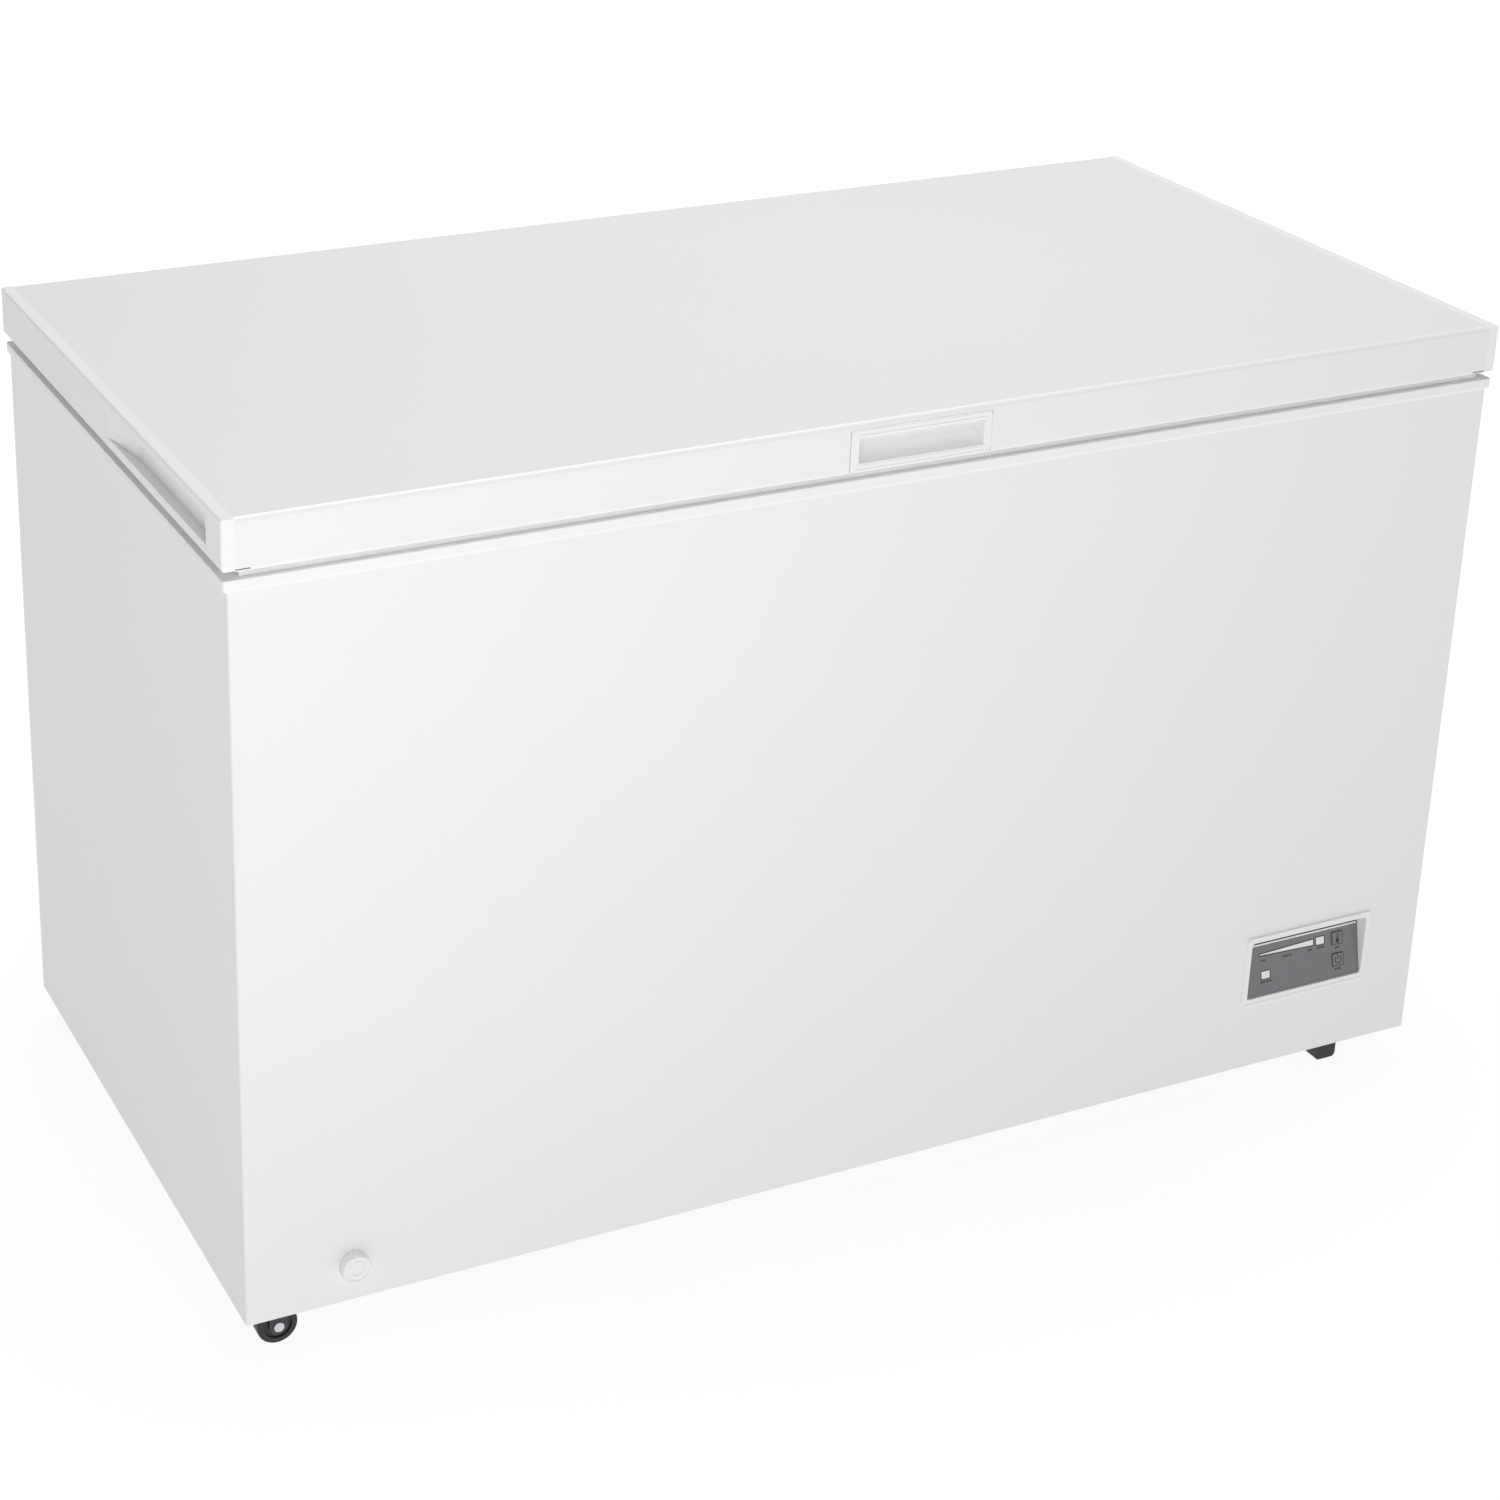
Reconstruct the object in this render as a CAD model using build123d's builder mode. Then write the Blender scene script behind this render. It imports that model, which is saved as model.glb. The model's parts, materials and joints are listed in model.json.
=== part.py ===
from build123d import *
from math import atan2, cos, sin
import os

os.makedirs("parts", exist_ok=True)

# A chest freezer, in millimetres. X runs along its length with +X on the compressor's side,
# -Y is the front and +Z is up. The origin is on the floor under the middle of the freezer.

# Overall sizes
lid_width = 1348.0
lid_depth = 678.0
overall_height = 845.0
ground_clearance = 36.0
end_reach = 9.0  # how far the drain cap in front and the hinges behind stand past the lid

# Lid and top frame heights
lid_height = 47.5
gasket_line = 8.5  # open height between the lid's skirt and the top frame
frame_height = 11.5
lid_skin_lift = 1.5  # the front skin ends a little above the end caps

# Cabinet, measured inwards from the lid's outline
side_overhang = 5.0
front_overhang = 2.5
rear_overhang = 5.0
sheet = 0.6
corner_radius = 3.0
fold_room = 20.0  # how far the cuts at the folded corners reach inwards
frame_side_lip = 4.0
frame_front_lip = 1.5
frame_chamfer = 2.5
frame_round = 1.2

# Walls of the tub
wall = 62.0
liner_thickness = 1.0
floor_wall = 53.0
tub_corner = 25.0
ledge = 10.0  # shelf round the mouth of the tub, which the basket hangs on

# Compressor compartment at the right-hand end, under a step in the tub
compartment_length = 233.4
compartment_height = 252.0
step_wall = 60.0
step_roof = 65.0

# Cooling tubes
evaporator_tube = 4.0
evaporator_turns = 6
evaporator_drop = 70.0
evaporator_pitch = 55.0
evaporator_gap = 24.0  # break in each turn at the rear, where the next one is joined
condenser_tube = 3.0
condenser_runs = 7
condenser_pitch = 52.0
condenser_margin = 78.0
condenser_drop = 90.0
tube_room = 0.5
sensor_radius = 3.5
sensor_length = 40.0

# Lid
lid_sheet = 0.7
lid_front_round = 5.0
lid_rear_round = 3.0
cap_width = 12.0
cap_tongue = 14.0
cap_round = 2.5
recess_front = 40.0
recess_length = 279.0
recess_depth = 10.0
recess_ramp = 65.0
recess_bottom = 10.5
recess_height = 28.8
plug_gap = 8.0
plug_drop = 10.0
gasket_front_inset = 6.5
gasket_rear_inset = 9.0
gasket_side_inset = 17.0
gasket_width = 14.0
contact_gap = 0.3

# Front handle
handle_centre = 4.0
handle_width = 150.0
handle_height = 41.0
handle_depth = 25.0
handle_proud = 1.0
handle_round = 6.0
handle_overlap = 3.0
grip_width = 133.5
grip_bottom = 7.5
grip_height = 25.0
grip_depth = 20.0
grip_slope = 7.0
grip_round = 5.0

# Hinges
hinge_spacing = 860.0
hinge_setback = 2.5  # pivot behind the lid's rear face
hinge_pivot_drop = 6.5  # pivot below the lid's skirt
pin_radius = 3.0
running_clearance = 0.05
ear_radius = 6.0
ear_thickness = 4.0
hinge_gap = 44.0
base_plate_width = 78.0
base_plate_height = 86.0
base_plate_top = 5.0
plate = 2.0
knuckle_radius = 5.0
knuckle_length = 11.0
arm_width = 60.0
arm_height = 36.0
arm_start = 9.0
spring_wire = 0.9
spring_turns = 7

# Screws
screw_radius = 2.0
screw_head_radius = 4.0
screw_head = 2.0

# Wheels at the left-hand end and feet at the right-hand end
wheel_radius = 20.0
wheel_width = 16.0
wheel_room = 8.0  # between the wheel and the base panel
wheel_inset = 34.5
wheel_setback = 8.5
wheel_round = 2.0
axle_radius = 3.0
axle_head_radius = 5.0
axle_head = 1.5
fork_width = 18.0
fork_flange = 46.0
fork_gap = 0.5
foot_inset = 81.5
foot_setback = 25.0
foot_width = 26.0
foot_length = 32.0
foot_round = 5.0
foot_screw_hold = 20.0

# Control panel, low on the right of the front
panel_inset = 144.85
panel_rise = 117.5
panel_width = 160.9
panel_height = 81.0
panel_round = 7.0
panel_proud = 2.0
window_width = 148.5
window_height = 68.0
window_round = 3.0
panel_wall = 2.0
sleeve_depth = 20.0
box_depth = 30.0
fascia_thickness = 2.0
fascia_low_depth = 2.0
fascia_high_depth = 17.0
fascia_clearance = 0.2
button_size = 14.4
button_round = 1.6
button_proud = 1.0
button_travel = 1.0
button_clearance = 0.3
button_flange = 1.2
button_margin = 27.75  # from the side of the window to the middle of the keys
button_column = window_width / 2 - button_margin
button_rise = 9.3
button_pitch = 24.0
switch_size = 6.0
board_gap = 6.0
board_thickness = 1.6
board_margin = 16.5  # the board is narrower than the window by this
board_width = window_width - board_margin
board_height = 54.0
post_radius = 2.5
scale_rise = 10.5
scale_thin = 1.2
scale_thick = 6.0
lamp_size = 10.5
lamp_height = 8.0
alarm_pitch = 22.0
alarm_column = button_column - alarm_pitch
scale_pitch = 9.0
scale_right = alarm_column - scale_pitch
scale_margin = 20.25
scale_left = scale_margin - window_width / 2
run_pitch = 6.5
run_column = scale_left + run_pitch
run_rise = -12.5

# Drain
drain_inset = 106.0
drain_rise = 40.0
drain_setback = 30.0
elbow_radius = 10.0
elbow_bore = 8.4
spout_radius = 8.0
spout_bore = 6.0
spout_length = 42.0
spout_flange = 11.2
spout_flange_thickness = 1.5
cap_radius = 14.25
cap_wall = 2.2
cap_rib = 0.7
cap_ribs = 30
cap_ring_radius = 8.25
cap_ring = 1.5
plug_head_radius = 14.0
plug_head = 3.0
plug_stem = 7.8
plug_stem_length = 14.0

# Compressor and what is round it
compressor_radius = 78.0
compressor_height = 165.0
compressor_dome = 34.0
compressor_setback = 143.0
compressor_seam = 3.0
seam_height = 6.0
mount_length = 190.0
mount_width = 150.0
mount_plate = 2.5
mount_pitch_x = 166.0
mount_pitch_y = 126.0
grommet_radius = 9.0
grommet_height = 12.0
bolt_radius = 4.0
bolt_head_radius = 6.5
bolt_head = 4.5
tray_sheet = 1.2
terminal_width = 50.0
terminal_height = 62.0
terminal_depth = 30.0
pipe_radius = 4.0
pipe_bend = 14.0
pipe_stub = 20.0
pipe_level = 120.0
drier_radius = 9.0
drier_length = 80.0
drier_tube = 2.0
loom_radius = 3.0
loom_bend = 22.0

# Covers over the compartment
cover_sheet = 1.2
cover_margin = 5.0
cover_opening_margin = 20.0
louvre_length = 80.0
louvre_pitch = 22.0
louvre_count = 8
louvre_slot = 5.0
louvre_hood = 5.0
gland_radius = 11.0
gland_flange = 3.0
gland_nose = 6.5
gland_bore = 4.0
gland_reach = 10.0
grille_length = 240.0
grille_height = 120.0
grille_proud = 4.0
grille_border = 12.0
grille_bars = 9
grille_bar = 3.0

# Wire basket
basket_length = 400.0
basket_height = 180.0
basket_end_gap = 12.0
basket_side_gap = 9.0
rim_wire = 2.5
mesh_wire = 1.5
mesh_pitch = 44.0
weld = 0.3
hanger_reach = 8.0
grip_length = 120.0
grip_radius = 5.2

# Levels from the floor up
lid_bottom = overall_height - lid_height
frame_top = lid_bottom - gasket_line
frame_bottom = frame_top - frame_height
cabinet_bottom = ground_clearance
base_level = 2 * wheel_radius + wheel_room
base_top = base_level + sheet
tub_floor = base_level + floor_wall
divider_bottom = base_level + compartment_height
divider_top = divider_bottom + sheet
step_floor = divider_top + step_roof
foam_top = frame_bottom - liner_thickness

# Faces of the lid, of the cabinet and of the tub, from the middle outwards
lid_side = lid_width / 2
lid_front = -lid_depth / 2
lid_rear = lid_depth / 2
cabinet_side = lid_side - side_overhang
cabinet_front = lid_front + front_overhang
cabinet_rear = lid_rear - rear_overhang
inner_side = cabinet_side - sheet
inner_front = cabinet_front + sheet
inner_rear = cabinet_rear - sheet
tub_side = cabinet_side - wall
tub_front = cabinet_front + wall
tub_rear = cabinet_rear - wall
divider_x = inner_side - compartment_length
step_x = divider_x - step_wall
cap_inner = lid_side - cap_width

# Back faces of the liner, where the foam begins
foam_side = tub_side + liner_thickness
foam_front = tub_front - liner_thickness
foam_rear = tub_rear + liner_thickness
foam_floor = tub_floor - liner_thickness
foam_step = step_floor - liner_thickness
foam_step_x = step_x + liner_thickness
frame_side = cabinet_side + frame_side_lip
frame_front = cabinet_front - frame_front_lip


def block(x_low, x_high, y_low, y_high, z_low, z_high, mode=Mode.ADD):
    """A plain block between two limits along each axis."""
    with Locations(((x_low + x_high) / 2, (y_low + y_high) / 2, (z_low + z_high) / 2)):
        Box(x_high - x_low, y_high - y_low, z_high - z_low, mode=mode)


def rod(start, end, radius, mode=Mode.ADD):
    """A round bar from one point to another."""
    run = Vector(end) - Vector(start)
    with BuildSketch(Plane(origin=start, z_dir=run)) as section:
        Circle(radius)
    extrude(section.sketch, amount=run.length, mode=mode)


def keep_within(points, low, high):
    """Keep only what lies over an outline in plan, between two heights."""
    with BuildSketch(Plane.XY.offset(low)) as outline:
        Polygon(*points, align=None)
    extrude(outline.sketch, amount=high - low, mode=Mode.INTERSECT)


def tube_along(points, bend, radius):
    """A round tube along straight runs that are joined by bends."""
    with BuildPart() as tube:
        with BuildLine() as path:
            FilletPolyline(*points, radius=bend)
        with BuildSketch(Plane(origin=path.line @ 0, z_dir=path.line % 0)):
            Circle(radius)
        sweep()
    return tube.part


def mitres(outer, inner):
    """Plan outlines of the four mitred bars between an outer and an inner rectangle.

    Each rectangle is (half length in X, front, rear).
    """
    outer_x, outer_front, outer_rear = outer
    inner_x, inner_front_y, inner_rear_y = inner
    outside = [(-outer_x, outer_front), (outer_x, outer_front), (outer_x, outer_rear), (-outer_x, outer_rear)]
    inside = [
        (-inner_x, inner_front_y), (inner_x, inner_front_y), (inner_x, inner_rear_y), (-inner_x, inner_rear_y)
    ]
    turns = [(0, 1), (1, 2), (2, 3), (3, 0)]
    return [(outside[a], outside[b], inside[b], inside[a]) for a, b in turns]


def save(part, name):
    """Label a finished piece and write it."""
    part.label = name
    export_step(part, f"parts/{name}.step")


def save_group(pieces, name):
    """Write solids that touch, or that repeat, as one node of separate solids."""
    solids = [solid for piece in pieces for solid in piece.solids()]
    save(Compound(children=solids), name)


# Screws: a head standing on a face and a shank through the plate and the sheet behind it
def screw_along_y(x, y, z, grip):
    """A pan-head screw whose head stands on the rear-facing face at y."""
    with BuildPart() as screw:
        rod((x, y, z), (x, y + screw_head, z), screw_head_radius)
        rod((x, y, z), (x, y - grip, z), screw_radius)
        fillet(screw.edges().filter_by(GeomType.CIRCLE).sort_by(Axis.Y)[-1], screw_head / 3)
    return screw.part


def screw_up(x, y, z, grip):
    """A pan-head screw driven upwards, with its head under the face at z."""
    with BuildPart() as screw:
        rod((x, y, z), (x, y, z - screw_head), screw_head_radius)
        rod((x, y, z), (x, y, z + grip), screw_radius)
    return screw.part


def screw_down(x, y, z, grip):
    """A pan-head screw driven downwards, with its head on the face at z."""
    with BuildPart() as screw:
        rod((x, y, z), (x, y, z + screw_head), screw_head_radius)
        rod((x, y, z), (x, y, z - grip), screw_radius)
    return screw.part


# Cabinet skin: one painted sheet wrapped round the front and both ends, parted at its folds
wrapper_height = frame_bottom - cabinet_bottom
panel_x = cabinet_side - panel_inset
panel_z = cabinet_bottom + panel_rise
drain_x = -cabinet_side + drain_inset
drain_z = cabinet_bottom + drain_rise
sleeve_width = window_width + 2 * panel_wall
sleeve_height = window_height + 2 * panel_wall
grille_y = cabinet_rear - compressor_setback
grille_z = base_level + compartment_height / 2


def cabinet_outline(side, front):
    """The cabinet in plan, with rounded front corners: the sheet's outer or its inner outline."""
    depth = cabinet_rear - front
    with BuildSketch(Plane.XY.offset(cabinet_bottom)) as outline:
        with Locations((0, front + depth / 2)):
            Rectangle(2 * side, depth)
        fillet(outline.vertices().group_by(Axis.Y)[0], corner_radius - (cabinet_side - side))
    return outline.sketch


def keep_inside_wrapper():
    """Round the front corners of what lies inside the wrapped sheet."""
    extrude(cabinet_outline(inner_side, inner_front), amount=wrapper_height, mode=Mode.INTERSECT)


with BuildPart() as wrapper:
    extrude(cabinet_outline(cabinet_side, cabinet_front), amount=wrapper_height)
    extrude(cabinet_outline(inner_side, inner_front), amount=wrapper_height, mode=Mode.SUBTRACT)


def side_outline(side):
    """Plan outline of one end of the wrapper, cut at 45 degrees through the fold."""
    corner = (side * cabinet_side, cabinet_front)
    inside = (side * (cabinet_side - fold_room), cabinet_front + fold_room)
    return (corner, inside, (inside[0], cabinet_rear), (corner[0], cabinet_rear))


with BuildPart() as front_panel:
    add(wrapper.part)
    keep_within(
        (
            (-cabinet_side, cabinet_front),
            (cabinet_side, cabinet_front),
            (cabinet_side - fold_room, cabinet_front + fold_room),
            (fold_room - cabinet_side, cabinet_front + fold_room),
        ),
        cabinet_bottom,
        frame_bottom,
    )
    block(
        panel_x - sleeve_width / 2 - panel_wall / 4,
        panel_x + sleeve_width / 2 + panel_wall / 4,
        cabinet_front - 1,
        inner_front + 1,
        panel_z - sleeve_height / 2 - panel_wall / 4,
        panel_z + sleeve_height / 2 + panel_wall / 4,
        mode=Mode.SUBTRACT,
    )
    rod((drain_x, cabinet_front - 1, drain_z), (drain_x, inner_front + 1, drain_z), elbow_bore, Mode.SUBTRACT)
save(front_panel.part, "front_panel")

with BuildPart() as left_side_panel:
    add(wrapper.part)
    keep_within(side_outline(-1), cabinet_bottom, frame_bottom)
save(left_side_panel.part, "left_side_panel")

with BuildPart() as right_side_panel:
    add(wrapper.part)
    keep_within(side_outline(1), cabinet_bottom, frame_bottom)
    block(
        inner_side - 1,
        cabinet_side + 1,
        grille_y - grille_length / 2 + grille_border,
        grille_y + grille_length / 2 - grille_border,
        grille_z - grille_height / 2 + grille_border,
        grille_z + grille_height / 2 - grille_border,
        mode=Mode.SUBTRACT,
    )
save(right_side_panel.part, "right_side_panel")

# Rear panel, with the hole that the compressor cover closes and the hinge screws' holes
hinge_xs = (-hinge_spacing / 2, hinge_spacing / 2)
hinge_y = lid_rear + hinge_setback
hinge_z = lid_bottom - hinge_pivot_drop
plate_top = hinge_z - base_plate_top
plate_bottom = plate_top - base_plate_height
hinge_screw_x = base_plate_width / 2 - 3 * screw_radius
hinge_screw_zs = (plate_bottom + 6 * screw_radius, plate_top - 12 * screw_radius)
hinge_base_screws = [
    (x + dx, z)
    for x in hinge_xs for dx in (-hinge_screw_x, hinge_screw_x) for z in hinge_screw_zs
]
cover_left = divider_x + cover_margin
cover_right = inner_side - cover_margin
cover_low = base_level + cover_margin
cover_high = divider_bottom - cover_margin
cover_screw_inset = cover_opening_margin / 2
cover_screws = [
    (x, z)
    for x in (cover_left + cover_screw_inset, cover_right - cover_screw_inset)
    for z in (cover_low + cover_screw_inset, (cover_low + cover_high) / 2, cover_high - cover_screw_inset)
]

with BuildPart() as rear_panel:
    block(-inner_side, inner_side, inner_rear, cabinet_rear, cabinet_bottom, frame_bottom)
    block(
        cover_left + cover_opening_margin,
        cover_right - cover_opening_margin,
        inner_rear - 1,
        cabinet_rear + 1,
        cover_low + cover_opening_margin,
        cover_high - cover_opening_margin,
        mode=Mode.SUBTRACT,
    )
    for x, z in hinge_base_screws + cover_screws:
        rod((x, inner_rear - 1, z), (x, cabinet_rear + 1, z), screw_radius, Mode.SUBTRACT)
save(rear_panel.part, "rear_panel")

# Base panel under the tub and tray under the compressor
wheel_front_y = cabinet_front + wheel_setback + plate + fork_gap + wheel_width / 2
wheel_rear_y = cabinet_rear - wheel_setback - plate - fork_gap - wheel_width / 2
wheel_ys = (wheel_front_y, wheel_rear_y)
wheel_x = -cabinet_side + wheel_inset
foot_x = cabinet_side - foot_inset
foot_ys = (cabinet_front + foot_setback + foot_length / 2, cabinet_rear - foot_setback - foot_length / 2)
fork_screw_x = fork_flange / 2 - 2 * screw_radius
fork_screws = [(wheel_x + dx, y) for dx in (-fork_screw_x, fork_screw_x) for y in wheel_ys]

with BuildPart() as base_panel:
    block(-inner_side, divider_x, inner_front, inner_rear, base_level, base_top)
    keep_inside_wrapper()
    for x, y in fork_screws:
        rod((x, y, base_level - 1), (x, y, base_top + 1), screw_radius, Mode.SUBTRACT)
save(base_panel.part, "base_panel")

compressor_x = (divider_x + inner_side) / 2
compressor_y = cabinet_rear - compressor_setback
tray_top = base_level + tray_sheet
mount_z = tray_top + grommet_height
mount_points = [
    (compressor_x + dx, compressor_y + dy)
    for dx in (-mount_pitch_x / 2, mount_pitch_x / 2)
    for dy in (-mount_pitch_y / 2, mount_pitch_y / 2)
]

with BuildPart() as compressor_tray:
    block(divider_x, inner_side, inner_front, inner_rear, base_level, tray_top)
    keep_inside_wrapper()
    for x, y in mount_points:
        rod((x, y, base_level - 1), (x, y, tray_top + 1), bolt_radius, Mode.SUBTRACT)
    for y in foot_ys:
        rod((foot_x, y, base_level - 1), (foot_x, y, tray_top + 1), screw_radius, Mode.SUBTRACT)
save(compressor_tray.part, "compressor_tray")

# Divider sheet between the foam and the compressor compartment
with BuildPart() as compartment_divider:
    block(divider_x, divider_x + sheet, inner_front, inner_rear, tray_top, divider_top)
    block(divider_x, inner_side, inner_front, inner_rear, divider_bottom, divider_top)
    keep_inside_wrapper()
save(compartment_divider.part, "compartment_divider")


# Inner liner: a tub with a step over the compressor and a flange under the top frame
def tub_prism(left, right, low, high, grow):
    """One rounded prism of the tub, grown outwards by the liner's thickness or by nothing."""
    with BuildSketch(Plane.XY.offset(low)) as outline:
        with Locations(((left + right) / 2, (tub_front + tub_rear) / 2)):
            RectangleRounded(
                right - left + 2 * grow,
                tub_rear - tub_front + 2 * grow,
                tub_corner + grow,
            )
    extrude(outline.sketch, amount=high - low, mode=Mode.ADD if grow else Mode.SUBTRACT)


elbow_y = tub_front + drain_setback
with BuildPart() as inner_liner:
    tub_prism(-tub_side, tub_side, foam_step, frame_bottom, liner_thickness)
    tub_prism(-tub_side, step_x, foam_floor, foam_step, liner_thickness)
    block(-inner_side, inner_side, inner_front, inner_rear, foam_top, frame_bottom)
    keep_inside_wrapper()
    tub_prism(-tub_side, tub_side, step_floor, frame_bottom, 0)
    tub_prism(-tub_side, step_x, tub_floor, step_floor, 0)
    rod((drain_x, elbow_y, foam_floor - 1), (drain_x, elbow_y, tub_floor + 1), elbow_bore, Mode.SUBTRACT)
save(inner_liner.part, "inner_liner")

# Foam: the blocks of one filling, each behind one wall of the tub, with room for the cooling tubes
coil_top = frame_bottom - evaporator_drop + evaporator_tube + tube_room
coil_bottom = (
    frame_bottom - evaporator_drop - (evaporator_turns - 1) * evaporator_pitch - evaporator_tube - tube_room
)
coil_room = 2 * evaporator_tube + tube_room
condenser_top = frame_bottom - condenser_drop + condenser_tube + tube_room
condenser_bottom = (
    frame_bottom - condenser_drop - (condenser_runs - 1) * condenser_pitch - condenser_tube - tube_room
)
condenser_room = 2 * condenser_tube + tube_room


def foam_block(x_low, x_high, y_low, y_high, z_low, z_high, cuts=()):
    """One block of foam, less the rooms cut for the tubes."""
    with BuildPart() as foam:
        block(x_low, x_high, y_low, y_high, z_low, z_high)
        for cut in cuts:
            block(*cut, mode=Mode.SUBTRACT)
        keep_inside_wrapper()
    return foam.part


coil_band = (
    -foam_side - coil_room,
    foam_side + coil_room,
    foam_front - coil_room,
    foam_rear + coil_room,
    coil_bottom,
    coil_top,
)
condenser_band = (
    -inner_side + condenser_margin - condenser_pitch,
    inner_side - condenser_margin + condenser_pitch,
    inner_rear - condenser_room,
    inner_rear,
    condenser_bottom,
    condenser_top,
)
both_bands = (coil_band, condenser_band)

with BuildPart() as foam_floor_block:
    block(-inner_side, divider_x, inner_front, inner_rear, base_top, foam_floor)
    elbow_room = elbow_radius + contact_gap
    rod((drain_x, inner_front, drain_z), (drain_x, elbow_y, drain_z), elbow_room, Mode.SUBTRACT)
    shaft_room = elbow_room + contact_gap
    rod((drain_x, elbow_y, drain_z - shaft_room), (drain_x, elbow_y, foam_floor), shaft_room, Mode.SUBTRACT)
    keep_inside_wrapper()
    for x, y in fork_screws:
        rod((x, y, base_top), (x, y, base_top + screw_radius), screw_radius + contact_gap, Mode.SUBTRACT)

foam_blocks = [
    foam_floor_block.part,
    foam_block(-inner_side, -foam_side, inner_front, inner_rear, foam_floor, foam_top, [coil_band]),
    foam_block(foam_side, inner_side, inner_front, inner_rear, divider_top, foam_top, [coil_band]),
    foam_block(-foam_side, divider_x, inner_front, foam_front, foam_floor, foam_top, [coil_band]),
    foam_block(divider_x, foam_side, inner_front, foam_front, divider_top, foam_top, [coil_band]),
    foam_block(-foam_side, divider_x, foam_rear, inner_rear, foam_floor, foam_top, both_bands),
    foam_block(divider_x, foam_side, foam_rear, inner_rear, divider_top, foam_top, both_bands),
    foam_block(foam_step_x, divider_x, foam_front, foam_rear, foam_floor, foam_step),
    foam_block(divider_x, foam_side, foam_front, foam_rear, divider_top, foam_step),
]
save_group(foam_blocks, "foam_insulation")

# Top frame: four mitred bars round the mouth of the tub
frame_inner = (tub_side + ledge, tub_front - ledge, tub_rear + ledge)
frame_outer = (frame_side, frame_front, cabinet_rear)


def frame_bar(outline):
    """One mitred bar of the top frame."""
    with BuildPart() as bar:
        with BuildSketch(Plane.XY.offset(frame_bottom)):
            with Locations((0, (frame_front + cabinet_rear) / 2)):
                RectangleRounded(2 * frame_side, cabinet_rear - frame_front, corner_radius)
        extrude(amount=frame_height)
        low_edges = bar.edges().group_by(Axis.Z)[0]
        chamfer(low_edges, frame_chamfer, frame_front_lip)
        fillet(bar.edges().group_by(Axis.Z)[-1], frame_round)
        block(
            -frame_inner[0],
            frame_inner[0],
            frame_inner[1],
            frame_inner[2],
            frame_bottom,
            frame_top,
            Mode.SUBTRACT,
        )
        keep_within(outline, frame_bottom, frame_top)
    return bar.part


save_group([frame_bar(outline) for outline in mitres(frame_outer, frame_inner)], "top_frame")


# Cooling tubes: turns of the evaporator round the tub, and the condenser behind the rear panel
def evaporator_turn(z):
    """One turn of tube round the liner, broken at the rear."""
    side = foam_side + evaporator_tube
    front = foam_front - evaporator_tube
    rear = foam_rear + evaporator_tube
    points = [(evaporator_gap, rear, z), (side, rear, z), (side, front, z)]
    points += [(-side, front, z), (-side, rear, z), (-evaporator_gap, rear, z)]
    return tube_along(points, tub_corner + liner_thickness + evaporator_tube, evaporator_tube)


turn_levels = [frame_bottom - evaporator_drop - i * evaporator_pitch for i in range(evaporator_turns)]
save_group([evaporator_turn(z) for z in turn_levels], "evaporator_coil")

condenser_y = inner_rear - condenser_tube
condenser_end = inner_side - condenser_margin
condenser_points = []
for run in range(condenser_runs):
    run_z = frame_bottom - condenser_drop - run * condenser_pitch
    ends = [(-condenser_end, condenser_y, run_z), (condenser_end, condenser_y, run_z)]
    condenser_points += ends if run % 2 == 0 else ends[::-1]
condenser_coil = tube_along(condenser_points, condenser_pitch * 0.45, condenser_tube)
save(condenser_coil, "condenser_coil")

# Temperature sensor, against the back of the liner between two turns of the evaporator
with BuildPart() as temperature_sensor:
    sensor_z = (turn_levels[2] + turn_levels[3]) / 2
    sensor_y = foam_front - sensor_radius
    rod(
        (step_x, sensor_y, sensor_z),
        (step_x + sensor_length, sensor_y, sensor_z),
        sensor_radius,
    )
save(temperature_sensor.part, "temperature_sensor")

# Compressor on rubber grommets, bolted to the tray
can_z = mount_z + mount_plate
with BuildPart() as compressor:
    with BuildSketch(Plane.XZ):
        with BuildLine():
            Polyline(
                (0, can_z),
                (compressor_radius, can_z),
                (compressor_radius, can_z + compressor_height - compressor_dome),
            )
            RadiusArc(
                (compressor_radius, can_z + compressor_height - compressor_dome),
                (0, can_z + compressor_height),
                -(compressor_radius**2 + compressor_dome**2) / (2 * compressor_dome),
            )
            Line((0, can_z + compressor_height), (0, can_z))
        make_face()
    revolve(axis=Axis.Z)
    with Locations((0, 0, can_z + compressor_height / 2)):
        Cylinder(compressor_radius + compressor_seam, seam_height)
    with Locations((0, 0, mount_z + mount_plate / 2)):
        Box(mount_length, mount_width, mount_plate)
    with GridLocations(mount_pitch_x, mount_pitch_y, 2, 2):
        with Locations((0, 0, mount_z)):
            Cylinder(bolt_radius, 3 * mount_plate, mode=Mode.SUBTRACT)
compressor_part = compressor.part.moved(Location((compressor_x, compressor_y, 0)))
save(compressor_part, "compressor")

with BuildPart() as compressor_grommets:
    for x, y in mount_points:
        rod((x, y, tray_top), (x, y, mount_z), grommet_radius)
        rod((x, y, tray_top), (x, y, mount_z), bolt_radius, Mode.SUBTRACT)
save(compressor_grommets.part, "compressor_grommets")

with BuildPart() as compressor_bolts:
    for x, y in mount_points:
        rod((x, y, base_level), (x, y, mount_z + mount_plate), bolt_radius)
        with BuildSketch(Plane.XY.offset(mount_z + mount_plate)) as head:
            with Locations((x, y)):
                RegularPolygon(bolt_head_radius, 6)
        extrude(head.sketch, amount=bolt_head)
save(compressor_bolts.part, "compressor_bolts")

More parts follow.
